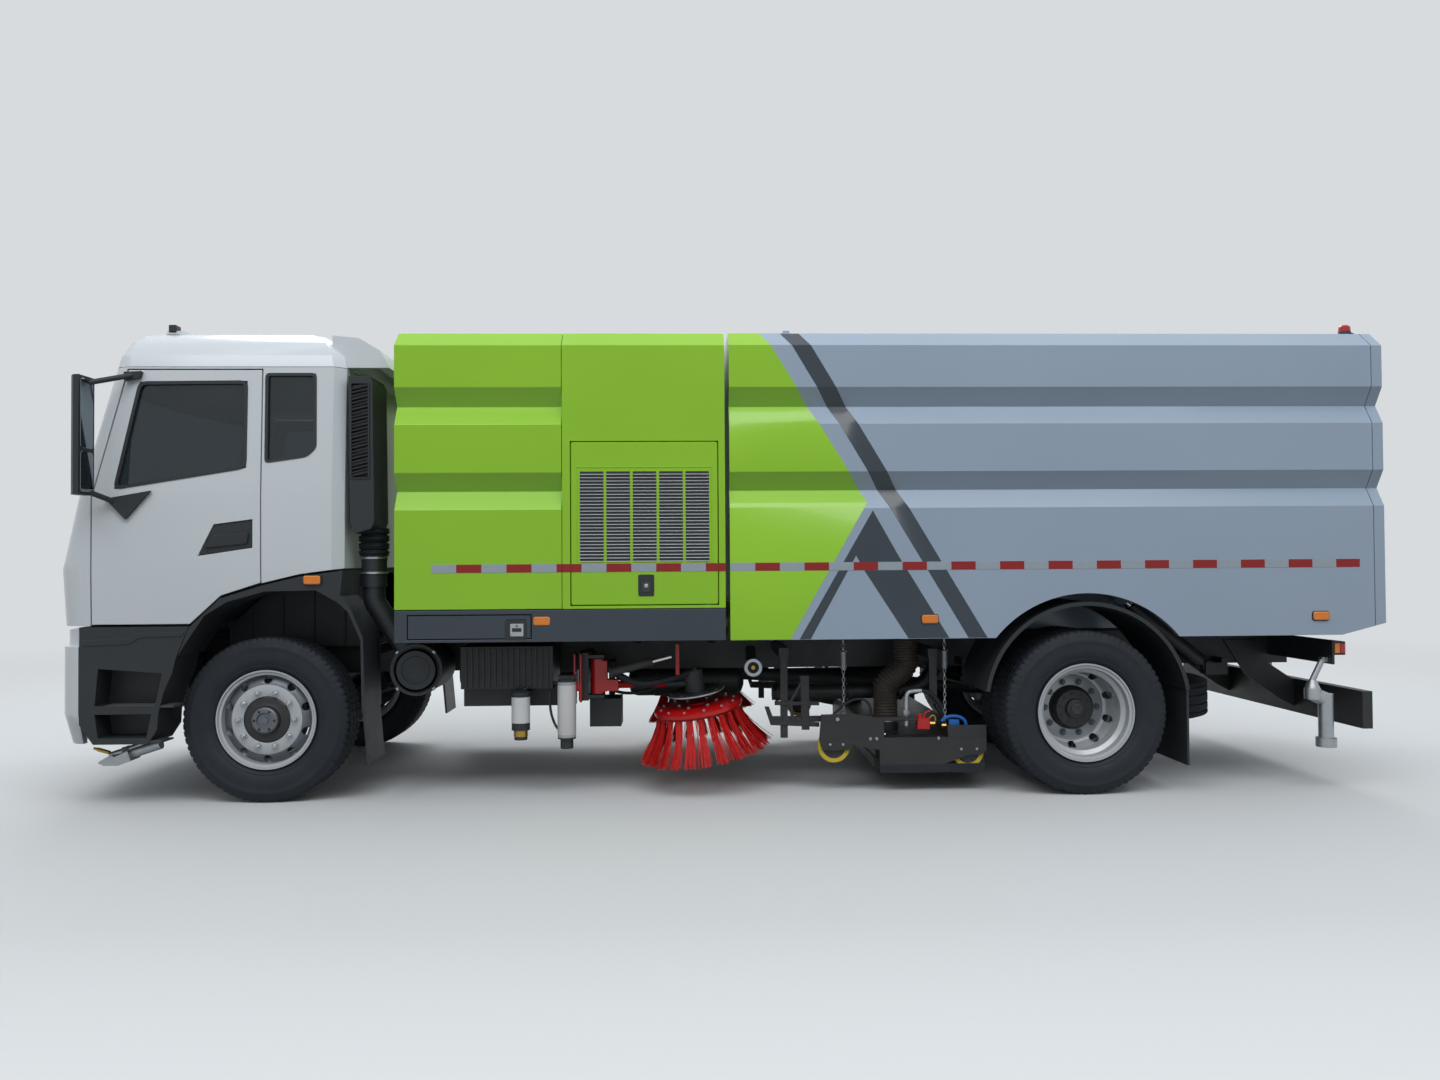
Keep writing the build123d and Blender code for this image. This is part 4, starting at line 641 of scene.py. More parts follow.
# The rim's drop-centre section turned about the axle
def rimShape(axle, centreY):
    half = [(256, 40), (280, 60), (284, 99), (297, 106), (302, 118), (300, 123), (292, 122), (286, 112),
            (272, 108), (266, 64), (242, 46)]
    section = half + [(r, -y) for r, y in half[::-1]]
    return lathe(section, (axle, centreY, tyre["radius"]), steps=96, ring=True)


# The dish with round hand holes: each hole's cell is a square grid wrapped round it in polar coordinates,
# and depths gives the face's depth at each radius. Cells meet edge to edge round the wheel.
def dishShape(axle, centreY, outward, depths):
    turn = np.linspace(-np.pi, np.pi, 33)[:-1]
    circle = np.stack((np.cos(turn), np.sin(turn)), -1)
    square = circle / np.abs(circle).max(1, keepdims=True)
    low, high, count = wheel["dishFrom"], wheel["dishTo"], wheel["holes"]
    outer = np.stack(((low + high) / 2 + square[:, 0] * (high - low) / 2, square[:, 1] * np.pi / count), -1)
    x, z = wheel["holeCircle"] + wheel["holeRadius"] * circle[:, 0], wheel["holeRadius"] * circle[:, 1]
    edge = np.stack((np.hypot(x, z), np.arctan2(z, x)), -1)
    t = np.array([0, 0.08, 0.3, 0.6, 1.0])[:, None, None]
    sheet = edge * (1 - t) + outer * t
    radius, angle = np.moveaxis(np.concatenate((sheet[::-1], sheet)), -1, 0)
    push = np.array([0, 0, 0, 0, 2] + [wheel["dishThickness"]] * 5)[:, None]
    y = centreY + outward * (np.interp(radius, depths[:, 0], depths[:, 1]) - push)
    points = np.stack((axle + radius * np.cos(angle), y, tyre["radius"] + radius * np.sin(angle)), -1)
    return copies(gridShape(points, caps=False),
                  roundTurns((axle, centreY, tyre["radius"]), rightwards, count, 18))


# Wheel nuts with washers and studs on a circle
def nutRing(axle, y):
    place, size = (axle + wheel["nutCircle"], y, tyre["radius"]), wheel["nutSize"]
    nut = lathe(((size - 2, 0), (size, 2), (size, 21), (size - 4, 24)), place, leftwards, 6)
    washer = lathe(((size + 5, 0), (size + 5, 5), (size, 6)), place, leftwards, 16)
    stud = rod(place, (place[0], y - 34, place[2]), 9, 10)
    return copies(joined(nut, washer, stud), roundTurns((axle, y, tyre["radius"]), rightwards, wheel["nuts"]))


frontY, outerY, innerY, rearAxle = -990, -1088, -770, 5000
frontCentre, rearCentre = (0, frontY, tyre["radius"]), (rearAxle, outerY, tyre["radius"])
frontDish = np.array([(0, 102), (212, 102), (226, 97), (270, 66)])
rearDish = np.array([(0, -161), (212, -161), (226, -155), (270, -104)])
addPair("front_tyre", tyreShape(0, frontY), tyreRubber, "front_wheel_{}", ["front_tyre_{}"])
addPair("rear_tyres", joined(tyreShape(rearAxle, outerY), tyreShape(rearAxle, innerY, 0.03)), tyreRubber,
        "rear_wheels_{}", ["rear_tyres_{}"])
frontPlate = lathe(((0, -90), (210, -92), (214, -98), (211, -105), (204, -107), (146, -107), (141, -104),
                    (141, -96), (0, -96)), frontCentre, steps=64)
addPair("front_rim", joined(rimShape(0, frontY), frontPlate), rimPaint, "front_wheel_{}", ["front_rim_{}"])
addPair("front_nuts", nutRing(0, frontY - 107), zincSteel, "front_wheel_{}")
cap = ((0, 0), (76, 0), (78, 5), (78, 12), (70, 18), (48, 19), (43, 8), (24, 8), (22, 16), (0, 16))
addPair("front_cap", lathe(cap, (0, frontY - 132, 500), leftwards), rimDish, "front_wheel_{}")
addPair("front_dish", dishShape(0, frontY, -1, frontDish), rimDish, "front_wheel_{}")
frontHub = ((0, -94), (140, -94), (140, -102), (132, -108), (100, -110), (88, -116), (84, -132), (0, -136))
hubBolts = copies(bolt((60, frontY - 151, 500), leftwards, 6), roundTurns(frontCentre, rightwards, 6))
addPair("front_hub", joined(lathe(frontHub, frontCentre), hubBolts), chassisPaint, "front_wheel_{}")
drum = ((0, 70), (170, 70), (170, -32), (232, -34), (232, -44), (170, -50), (150, -60), (0, -60))
addPair("brake_drum", lathe(drum, frontCentre), castIron, "front_wheel_{}")
rearPlate = lathe(((0, 171), (212, 171), (212, 162), (207, 159), (0, 159)), rearCentre, steps=64)
addPair("rear_rims", joined(rimShape(rearAxle, outerY), rearPlate, rimShape(rearAxle, innerY)), rimPaint,
        "rear_wheels_{}", ["rear_rims_{}"])
addPair("rear_nuts", nutRing(rearAxle, outerY + 159), rimDish, "rear_wheels_{}")
addPair("rear_dish", joined(dishShape(rearAxle, outerY, -1, rearDish),
                            dishShape(rearAxle, innerY, 1, rearDish + (0, 26))), rimPaint, "rear_wheels_{}")
rearHub = ((0, 160), (140, 158), (138, 130), (124, 114), (116, 84), (64, 74), (60, 54), (50, 48), (0, 46))
rearBolts = copies(bolt((rearAxle + 92, outerY + 82, 500), leftwards, 7),
                   roundTurns(rearCentre, rightwards, 10, 9))
addPair("rear_hub", joined(lathe(rearHub, rearCentre), rearBolts), chassisPaint, "rear_wheels_{}")
cap = ((0, 47), (34, 47), (34, 42), (28, 39), (20, 40), (17, 44), (0, 44))
addPair("rear_cap", lathe(cap, rearCentre), castIron, "rear_wheels_{}")

print("body colours")
# The body's side at each height: how far the panel stands in from the half width, with two dished ribs and
# a sloped top
ribHeights = np.array([900, 1762, 1875, 1985, 2275, 2388, 2500, 2755, 2850])
ribInset = np.array([0, 0, 70, 0, 0, 70, 0, 0, 115])
bodyHalf = 1250


# A thin sheet on the body's side between two edges, each X as a function of height, that follows the ribs
def sideBand(start, end, low, high):
    start, end = np.array(start, float), np.array(end, float)
    breaks = np.concatenate(((low, high), ribHeights, start[:, 1], end[:, 1]))
    z = np.unique(breaks[(breaks >= low) & (breaks <= high)])
    front, back = (np.interp(z, *edge[np.argsort(edge[:, 1])].T[::-1]) for edge in (start, end))
    face = -(bodyHalf - np.interp(z, ribHeights, ribInset))
    rows = [(front, face - 1), (back, face - 1), (back, face + 2), (front, face + 2)]
    return gridShape(np.stack([np.stack((x, y, z), -1) for x, y in rows], 1))


body = {"low": 970, "high": 2848, "knee": 1474, "stripe": 116}
low, high, knee = body["low"], body["high"], body["knee"]
chevron = [(3179, low), (3655, 1800), (3070, 2755), (3012, high)]
limePart = sideBand([(2816, low), (2816, high)], chevron, low, high)
addPiece("lime_chevron", both(limePart), limeEnamel, "hopper")
longEdge = [(4264, low), (3205, 2746), (3137, high)]
stripes = joined(
    sideBand(longEdge, [(x + body["stripe"], z) for x, z in longEdge], low, high),
    sideBand([(3234, low), (3526, knee)], [(3301, low), (3581, knee)], low, knee),
    sideBand([(3896, low), (3635, 1376), (3581, knee)], [(4146, low), (3838, knee)], low, knee),
    sideBand([(3526, knee), (3684, 1746)], [(3838, knee), (3686, 1746)], knee, 1746))
addPiece("dark_stripes", both(stripes), slateEnamel, "hopper")

# Reflective tape in one beat of red and silver along the truck, cut where one body ends: (body, start, end)
tape = {"low": 1384, "high": 1434, "start": 1025, "pitch": 149.4, "count": 38}
runs = (("chassis", 1025, 1803), ("chassis", 1806, 1858), ("engine_door", 1860, 2742),
        ("chassis", 2744, 2788), ("hopper", 2817, 6702))
doorY = boxOf("engine_door_left")[0][1]
tapeParts = {}
for carrier, low, high in runs:
    y = doorY if carrier == "engine_door" else -bodyHalf
    for k in range(tape["count"]):
        x0, x1 = (tape["start"] + step * tape["pitch"] for step in (k, k + 1))
        x0, x1 = max(low, x0), min(high, x1)
        if x1 - x0 > 3:
            part = block(x0, y + 2, tape["low"], x1, y - 1.4, tape["high"], 0.3)
            tapeParts.setdefault((carrier, k % 2), []).append(part)
for (carrier, odd), parts in tapeParts.items():
    name, material = ("red_tape", redTape) if odd else ("silver_tape", silverTape)
    if carrier == "engine_door":
        addPair(f"{name}_door", joined(*parts), material, "engine_door_{}")
    else:
        addPiece(f"{name}_{carrier}", both(*parts), material, carrier)

print("engine doors")
louvre = {"first": 1913, "pitch": 159, "columns": 5, "width": 142, "low": 1446, "high": 1990, "rows": 27,
          "proud": 6}
doorLow, doorHigh = boxOf("engine_door_left")
panel = block(doorLow[0], doorY, doorLow[2], doorHigh[0], doorY + 30, doorHigh[2], 4, 14)
hem = [block(x0, doorY - 2.5, z0, x1, doorY + 1, z1, 1.2, 6)
       for x0, z0, x1, z1 in ((1892, 2012, 2712, 2018), (1892, 1442, 1900, 2018), (2704, 1442, 2712, 2018))]
# Columns of slots: a black well behind each as painted shade, with thin bright blades that lean out over it
columns = [louvre["first"] + k * louvre["pitch"] for k in range(louvre["columns"])]
shadeWells = [block(x, doorY - 1, louvre["low"], x + louvre["width"], doorY + 1, louvre["high"], 0.4, 3)
         for x in columns]
proud = doorY - louvre["proud"]
blade = slab(((doorY + 0.5, 4), (proud, 0), (proud - 0.8, 1), (proud, 2.6), (doorY + 0.5, 6.8)), 0,
             louvre["width"], "yz", 0.3)
step = (louvre["high"] - louvre["low"]) / louvre["rows"]
blades = [(x, 0, louvre["low"] + row * step) for x in columns for row in range(louvre["rows"])]
latchLip = [block(x, doorY - 6, 1246, x + 4, doorY - 4, 1360, 0.5, 1) for x in (2268, 2346)]
latchTray = block(2261, doorY - 5, 1238, 2357, doorY + 1, 1368, 2, 12)
keyhole = lathe(((0, 0), (12, 0), (12, 4), (8, 6), (0, 6)), (2309, doorY - 8.5, 1300), leftwards, 24)
# The louvres' black wells stand for the shade inside the slots
for name, shape, material in (
        ("louvre_slot_shade", joined(*shadeWells), blackPlastic),
        ("louvre_blades", copies(blade, moves(blades)), zincSteel),
        ("door_latch", joined(latchTray, *latchLip), blackPlastic),
        ("latch_paddle", block(2283, doorY - 9, 1262, 2335, doorY - 4, 1322, 2, 8), castIron),
        ("latch_keyhole", keyhole, zincSteel)):
    addPair(name, shape, material, "engine_door_{}")
addPair("engine_door", joined(panel, *hem), limeEnamel, "engine_door_{}", ["engine_door_{}"])

print("side markers")
marker = {"halfLength": 50, "halfHeight": 26, "corner": 14, "proud": 14}
places = (("chassis", 1682, 1092, -1243), ("hopper", 4027, 1085, -1250), ("hopper", 6450, 1085, -1250),
          ("cab", 323, 1348, -1250))
for number, (carrier, x, z, y) in enumerate(places):
    wide, tall = marker["halfLength"], marker["halfHeight"]
    outline = rectangle(x - wide, z - tall, x + wide, z + tall, marker["corner"])
    base = slab(inset(outline, -5), y - 3, y + 3, bevel=1)
    lens = slab(outline, y - marker["proud"], y - 2, bevel=5)
    addPiece(f"marker_base_{number}", both(base), blackPlastic, carrier)
    addPiece(f"marker_lens_{number}", both(lens), amberLens, carrier)

print("brushes")
brush = {"hub": (2616, -850, 566), "lean": 9, "tilt": 5, "tufts": 24, "bristles": 64, "spread": 17,
         "thickness": 2.5, "sides": 3}


# Turns a shape made round +Z at the origin so that +Z becomes the brush's axis, and moves it to the hub
def onBrush(*shapes):
    axis = np.array((-math.sin(math.radians(brush["lean"])), -math.sin(math.radians(brush["tilt"])), 1.0))
    axis /= np.linalg.norm(axis)
    side = np.cross(up, axis)
    matrix = turns(origin, side, math.degrees(math.asin(np.linalg.norm(side))))
    matrix[:, :, 3] = brush["hub"]
    return copies(joined(*shapes), matrix)


# A ring of tufts. Each bristle leaves the ring at one radius and depth and curves outwards to another, with
# a random place in its tuft and a random spread at its tip.
def tuftRing(radius, tipRadius, depth, tipDepth, count):
    k = count * brush["bristles"]
    tuft = np.repeat(np.arange(count) * 2 * np.pi / count, brush["bristles"])
    base, tip = rng.normal(0, 1, (2, k, 2))
    t = np.linspace(0, 1, 5)[None, :, None]
    spot = np.stack((radius + base[:, 0] * 6, base[:, 1] * 8, np.full(k, -depth)), -1)[:, None]
    end = np.stack((tipRadius + tip[:, 0] * brush["spread"], base[:, 1] * 8 + tip[:, 1] * brush["spread"],
                    -tipDepth + np.abs(rng.normal(0, 12, k))), -1)[:, None]
    x, y, z = np.moveaxis(spot + (end - spot) * np.concatenate((t ** 1.4, t ** 1.2, t), -1), -1, 0)
    c, s = np.cos(tuft)[:, None], np.sin(tuft)[:, None]
    path = np.stack((x * c - y * s, x * s + y * c, z), -1)
    return manyTubes(path, brush["thickness"] * np.array([1, 1, 0.9, 0.8, 0.55]), brush["sides"])


addPair("brush_tufts", onBrush(tuftRing(256, 390, 70, 340, brush["tufts"])), redBristle, "brush_{}",
        sharp=60, merge=False)
disc = lathe(((0, -18), (60, -18), (64, -26), (268, -30), (282, -36), (282, -58), (270, -74), (190, -78),
              (180, -60), (0, -56)), origin, up, 72)
ferrules = copies(lathe(((17, 0), (17, -18), (14, -20)), (256, 0, -66), up, 12),
                  roundTurns(origin, up, brush["tufts"]))
addPair("brush_disc", onBrush(disc, ferrules), redPaint, "brush_{}", ["brush_{}"])
studs = copies(bolt((238, 0, -30), up, 9), roundTurns(origin, up, 12, 8))
inner = copies(bolt((120, 0, -27), up, 10), roundTurns(origin, up, 6))
addPair("brush_bolts", onBrush(studs, inner), zincSteel, "brush_{}")

print("suction hoses")
hose = {"radius": 74, "rib": 7, "pitch": 19, "steps": 300, "sides": 28, "foot": 3850, "head": 3990}


# A hose: its path is resampled evenly, and its radius rises and falls by a cosine of the way along it
def hoseShape(path):
    length = np.concatenate(([0], np.cumsum(np.linalg.norm(np.diff(path, axis=0), axis=1))))
    at = np.linspace(0, length[-1], hose["steps"])
    even = np.stack([np.interp(at, length, path[:, axis]) for axis in range(3)], -1)
    wave = hose["radius"] + hose["rib"] * (0.5 + 0.5 * np.cos(2 * np.pi * at / hose["pitch"]))
    return tube(even, wave, hose["sides"])


foot, top = hose["foot"], hose["head"]
hosePath = curved((foot, -720, 385), (foot, -720, 560), (foot, -720, 640), (top, -720, 740),
                  (top, -720, 840), (top, -720, 968), rounds=5)
hoses = addPiece("suction_hoses_ribbed", both(hoseShape(hosePath)), hoseRubber, None, ["suction_hoses"],
                 sharp=60)
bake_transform(hoses)
clamps = lathe(((78, 0), (84, 1), (84, 14), (78, 15)), (foot, -720, 396), up, ring=True)
addPiece("hose_clamps_low", both(clamps), zincSteel, "suction_head")

print("cab details")
# The cab's front: at each height, its nose, its corner and its half width
cabRows = np.array([(1085, -1332, -1167, 1240), (1420, -1348, -1185, 1250), (1844, -1275, -1090, 1246),
                    (2630, -1075, -885, 1200)], float)
cab = {"cornerIn": 95, "sealDepth": 16, "bumperNose": -1345, "bumperSweep": 170, "bumperHalf": 1144}


# Where the cab's front face is at a place across and a height: a parabola between the nose and the corner,
# with the rows joined by straight lines
def cabFront(y, z):
    nose, corner, half = (np.interp(z, cabRows[:, 0], cabRows[:, column]) for column in (1, 2, 3))
    return nose + (corner - nose) * (np.abs(y) / (half - cab["cornerIn"])) ** 2


# Places on the cab's side, the cab's front and the bumper's front, raised above the surface by lift
def onSide(x, z, lift):
    return np.stack((x, -np.interp(z, cabRows[:, 0], cabRows[:, 3]) - lift, z), -1)


def onFront(y, z, lift):
    return np.stack((cabFront(y, z) - lift, y, z), -1)


def onBumper(y, z, lift):
    x = cab["bumperNose"] + cab["bumperSweep"] * (np.abs(y) / cab["bumperHalf"]) ** 2
    return np.stack((x - lift, y, z), -1)


# A flat band round an outline on a surface: the outline moved out and in, raised above the surface by lift
def seal(outline, surface, outwards, inwards, lift):
    outer, inner = inset(outline, -outwards), inset(outline, inwards)
    rings = ((outer, -cab["sealDepth"]), (outer, lift), (inner, lift), (inner, -cab["sealDepth"]))
    return gridShape(np.stack([surface(*ringOf.T, height) for ringOf, height in rings]), ring=True)


# A shallow block whose outline lies on a surface: back edge, front edge, and a bevelled front
def patchOn(outline, surface, back, front, bevel):
    rows = ((0, -back), (0, front - bevel * 0.6), (bevel, front))
    return gridShape(np.stack([surface(*inset(outline, shrink).T, lift) for shrink, lift in rows]))


# More points along an outline's edges
def dense(outline, count):
    t = np.linspace(0, 1, count + 1)[:-1, None]
    return np.concatenate([a + t * (b - a) for a, b in zip(outline, np.roll(outline, -1, 0))])


doorWindow = softOutline(((-842, 1895), (-713, 2540), (-76, 2545), (-73, 2020)), 45)
rearWindow = softOutline(((40, 2052), (34, 2590), (330, 2590), (338, 2140), (284, 2088)), 25)
screen = softOutline(((-1090, 1900), (1090, 1900), (1000, 2560), (-1000, 2560)), 70, 6)
screenDense = np.concatenate([np.linspace(screen[k - 1], screen[k], 9)[1:] for k in range(len(screen))])
addPair("door_seal", seal(doorWindow, onSide, 4, 16, 4), blackPlastic, "door_{}")
addPiece("rear_seal", both(seal(rearWindow, onSide, 4, 14, 4)), blackPlastic, "cab")
addPiece("screen_seal", seal(screenDense, onFront, 14, 22, 5), blackPlastic, "cab")

print("cab fittings")
handle = softOutline(((-349, 1497), (-257, 1681), (-32, 1710), (-32, 1544)), 16)
grip = softOutline(((-312, 1540), (-60, 1566), (-52, 1636), (-262, 1622)), 16)
addPair("door_handle", joined(slab(handle, -1215, -1241, bevel=4), slab(grip, -1230, -1257, bevel=6),
                              rod((-300, -1241, 1512), (-300, -1247, 1512), 11)), blackPlastic, "door_{}")
# Mirror glasses on the housing's rear face, a main one and a wide-angle one
glasses = joined(slab(rectangle(-1487, 2120, -1353, 2520, 24), -909, -904, "yz", 1.5),
                 slab(rectangle(-1487, 1868, -1353, 2100, 24), -909, -903, "yz", 1.5))
addPair("mirror_glass", glasses, mirrorGlass, "door_{}")
# Wipers: an arm from its pivot to the blade's middle, and the blade parked along the screen's foot
wiper = {"height": 1948, "bow": 10, "pivotHeight": 1872, "points": 14}
wipers = []
for pivot, start, end in ((-720, -1010, -210), (40, -130, 660)):
    bow = wiper["height"] + wiper["bow"] * np.sin(np.linspace(0, np.pi, wiper["points"]))
    rubber = onFront(np.linspace(start, end, wiper["points"]), bow, 16)
    middle = rubber[7]
    root = onFront(np.array([pivot]), np.array([wiper["pivotHeight"]]), 6)[0]
    arm = curved(root, root + (-22, 0, 6), middle + (-14, 0, -30), middle)
    wipers += [tube(rubber, 7, 8), tube(arm, 7, 8),
               lathe(((18, 0), (18, 26), (12, 32)), root + (12, 0, 0), (-1, 0, 0), 20)]
addPiece("wipers", joined(*wipers), blackPlastic, "cab")
# A work lamp stands on the roof's front edge
addPiece("roof_lamp", joined(block(-690, -925, 2868, -610, -835, 2884),
                             rod((-650, -880, 2880), (-650, -880, 2908), 9),
                             block(-680, -915, 2902, -632, -845, 2948, 5, 8)), blackPlastic, "cab")
headlamp = dense(softOutline(((-664, 866), (-1056, 866), (-1056, 724), (-704, 724)), 20), 4)
addPiece("headlamps", both(patchOn(headlamp, onBumper, 30, -8, 8)), clearLens)
rings = []
for y in (-780, -900):
    centre, facing = onBumper(np.array([y]), np.array([796]), 0)[0], (-1, 0.16 * y / 900, 0)
    rings += [lathe(((50, -6), (54, 4), (46, 6), (42, -4)), centre, facing, ring=True),
              lathe(((0, -8), (34, -8), (30, 2), (0, 6)), centre, facing)]
addPiece("headlamp_rings", both(*rings), hardChrome)
indicator = dense(softOutline(((-985, 850), (-1048, 850), (-1048, 740), (-985, 740)), 12), 3)
addPiece("front_indicators", both(patchOn(indicator, onBumper, 20, -3, 5)), amberLens)
addPiece("front_plate", patchOn(dense(rectangle(-230, 452, 230, 548, 14), 3), onBumper, 4, 8, 3), whiteEnamel)
# Step plates with grip ribs in the step recesses
treads = []
for x0, x1, z in ((-905, -492, 604), (-930, -560, 396)):
    treads.append(block(x0, -1240, z - 6, x1, -1085, z + 4, 2))
    treads += [block(x0 + 10, -1238 + 26 * k, z + 3, x1 - 10, -1230 + 26 * k, z + 9, 2) for k in range(5)]
addPiece("step_treads", both(*treads), castIron)

print("air intake")
intake = {"at": (622, -1010, 1491), "slats": 26, "slatPitch": 21, "bellowsPitch": 24,
          "drum": (885, -1050, 786)}
# Slanted slats across the intake's side grille, in a frame, and rubber bellows under it
slat = slab(softOutline(((540, 0), (640, 26), (640, 34), (540, 8)), 2), -1196, -1207, bevel=1.5)
slats = copies(slat, moves([(0, 0, 1966 + intake["slatPitch"] * k) for k in range(intake["slats"])]))
frameOf = gridShape(np.stack([np.insert(inset(rectangle(533, 1955, 647, 2538, 14), shrink), 1, y, axis=1)
                              for shrink, y in ((0, -1194), (0, -1208), (8, -1208), (8, -1194))]), ring=True)
addPiece("intake_grille", joined(slats, frameOf), blackPlastic)
ribs = np.arange(0, 172, 4.0)
bellows = np.stack((84 + 10 * np.cos(ribs * 2 * np.pi / intake["bellowsPitch"]), ribs), -1)
bellows = np.concatenate(([(70, -1)], bellows, [(70, 172)]))
addPiece("intake_bellows", lathe(bellows, intake["at"], up, 40), tyreRubber, sharp=60)
bands = [lathe(((78, 0), (83, 1), (83, 13), (78, 14)), (622, -1010, z), up, ring=True) for z in (1472, 1380)]
# The drum's cover with its clips, and the cap of its other side
cover = lathe(((0, -6), (60, -6), (64, -2), (84, -2), (88, -7), (118, -7), (122, 0), (134, 0), (134, 6),
               (0, 6)), intake["drum"], steps=64)
rim = lathe(((134, 14), (150, 8), (159, 8), (159, 30), (134, 30)), intake["drum"], steps=64, ring=True)
clips = copies(block(1036, -1062, 776, 1050, -1020, 796, 2), roundTurns((885, 0, 786), rightwards, 4, 45))
addPiece("drum_cover", joined(cover, rim), blackPlastic)
addPiece("drum_clips", clips, zincSteel)
addPiece("intake_bands", joined(*bands), zincSteel)
drumCap = lathe(((0, 34), (60, 33), (118, 26), (132, 16), (146, 12), (152, 0), (0, 0)), (885, -1022, 786),
                leftwards, 64)
drumRim = lathe(((150, 0), (160, 2), (160, 16), (150, 18)), (885, -1000, 786), leftwards, 64, True)
capClips = copies(block(880, -1040, 936, 890, -985, 950, 2), roundTurns((885, 0, 786), rightwards, 3, 20))
addPiece("drum_cap", joined(drumCap, drumRim, capClips), blackPlastic)

print("seats")
seat = {"power": 0.34, "fill": 0.85, "drawnIn": 0.03, "seam": 9, "lean": 0.16}


# A number's sine or cosine raised to the seat's power, with its sign kept
def soft(value):
    return np.sign(value) * np.abs(value) ** seat["power"]


# A cushion: a superellipsoid, each coordinate's sine or cosine raised to a power below one, with its sides
# drawn in between the corners. Sewn channels at places across are pressed in along an axis by a bell curve.
def cushion(low, high, seams=(), axis=2, press=seat["seam"], lean=0.0):
    low, high = np.array(low, float), np.array(high, float)
    u = np.linspace(0, 2 * np.pi, 96, endpoint=False)
    v = np.linspace(-np.pi / 2, np.pi / 2, 41)[1:-1, None]
    wide = soft(np.cos(v))
    unit = np.stack((wide * soft(np.cos(u)), wide * soft(np.sin(u)), soft(np.sin(v)) + 0 * u), -1)
    unit[..., 1] *= 1 - seat["drawnIn"] * np.cos(unit[..., 0] * np.pi / 2) * np.abs(unit[..., 1])
    points = (low + high) / 2 + unit * (high - low) / 2
    for y in seams:
        bell = np.exp(-((points[..., 1] - y) / seat["seam"]) ** 2)
        points[..., axis] -= press * bell * (unit[..., axis] * np.sign(press) > 0.3)
    points[..., 0] += lean * (points[..., 2] - low[2])
    return gridShape(points)


seatLow, seatHigh = boxOf("cab_seats")
backX, frontX = seatHigh[0], seatLow[0]
baseParts = []
for number, y in enumerate((-520, 520)):
    seams = (y - 130, y + 130)
    pad = cushion((frontX, y - 250, 1478), (backX - 110, y + 250, 1600), seams)
    rest = cushion((backX - 235, y - 245, 1560), (backX - 110, y + 245, 2110), seams, 0, -seat["seam"],
                   seat["lean"])
    head = cushion((backX - 135, y - 130, 2132), (backX - 45, y + 130, 2322))
    for name, form in (("seat_pad", pad), ("seat_back", rest), ("head_rest", head)):
        piece = addPiece(f"{name}_{number}", form, seatCloth, "cab", ("cab_seats",), sharp=70)
    baseParts.append(block(frontX + 30, y - 200, max(seatLow[2], 1140), backX - 150, y + 200, 1490, 12, 30))
    baseParts += [rod((backX - 88, across, 2080), (backX - 78, across, 2170), 7)
                  for across in (y - 60, y + 60)]
addPiece("seat_bases", joined(*baseParts), cabPlastic, "cab")

print("spare wheel")
# Laid flat under the frame, and made a little smaller so that it hangs clear of it
spare = {"x": 5800, "drop": 38, "size": 0.992}
spareTurn = turns((spare["x"], 0, 500), rearwards, 90)
spareTurn[:, 2, 3] -= spare["drop"]
spareTurn[:, :, :3] *= spare["size"]
spareTurn[:, :, 3] += np.array((spare["x"], 0, 500 - spare["drop"])) * (1 - spare["size"])
addPiece("spare_tyre", copies(tyreShape(spare["x"], 0), spareTurn), tyreRubber, replaces=["spare_wheel"])
hub = lathe(((0, 10), (166, 10), (166, -11), (0, -11)), (spare["x"], 0, 500), steps=64)
spareRim = joined(rimShape(spare["x"], 0), dishShape(spare["x"], 0, -1, rearDish + (0, 170)), hub)
addPiece("spare_rim", copies(spareRim, spareTurn), rimPaint)

print("castors")
for end, (x, z) in (("front", (3466, 282)), ("rear", (4310, 242))):
    low, high = boxOf(f"castor_{end}_left")
    y, half = (low[1] + high[1]) / 2, (high[1] - low[1]) / 2
    tread = lathe(((72, -half + 2), (96, -half), (100, -half + 5), (100, half - 5), (96, half),
                   (72, half - 2)), (x, y, z), ring=True, steps=64)
    hub = lathe(((12, -half), (26, -half), (28, -half + 6), (62, -half + 8), (66, -half + 3),
                 (74, -half + 3), (74, half - 3), (66, half - 3), (62, half - 8), (28, half - 6), (26, half),
                 (12, half)), (x, y, z), ring=True)
    addPair(f"castor_tread_{end}", tread, yellowTread, f"castor_{end}_{{}}", [f"castor_{end}_{{}}"])
    addPair(f"castor_hub_{end}", hub, castIron, f"castor_{end}_{{}}")

print("underbody, left")
cans = [lathe(((50, 0), (57, 6), (57, 164), (50, 170)), (1525, -1040, 452), up, 40),
        lathe(((40, 0), (52, 8), (57.5, 26), (57.5, 322), (50, 330)), (1808, -1040, 362), up, 40)]
addPiece("filter_cans", joined(*cans), whiteCan)
bowl = lathe(((0, 0), (16, 0), (30, 8), (43, 22), (43, 94), (36, 100), (0, 100)), (1525, -1040, 352), up, 40)
addPiece("filter_bowl", bowl, brassMetal)
heads = [lathe(((0, 0), (60, 0), (62, 6), (62, 26), (40, 36), (0, 38)), (1525, -1040, 620), up, 40),
         lathe(((0, 0), (50, 0), (52, 5), (52, 24), (34, 34), (0, 36)), (1808, -1040, 634), up, 40),
         lathe(((0, 0), (12, 0), (18, 8), (18, 34), (34, 44), (34, 70), (0, 74)), (1808, -1040, 300), up, 40),
         tube(curved((1530, -1000, 650), (1600, -960, 690), (1700, -960, 700), (1800, -1000, 668)), 11),
         tube(curved((1700, -1000, 640), (1700, -1005, 520), (1740, -1010, 410), (1797, -1015, 385)), 8)]
addPiece("filter_heads", joined(*heads), blackPlastic)

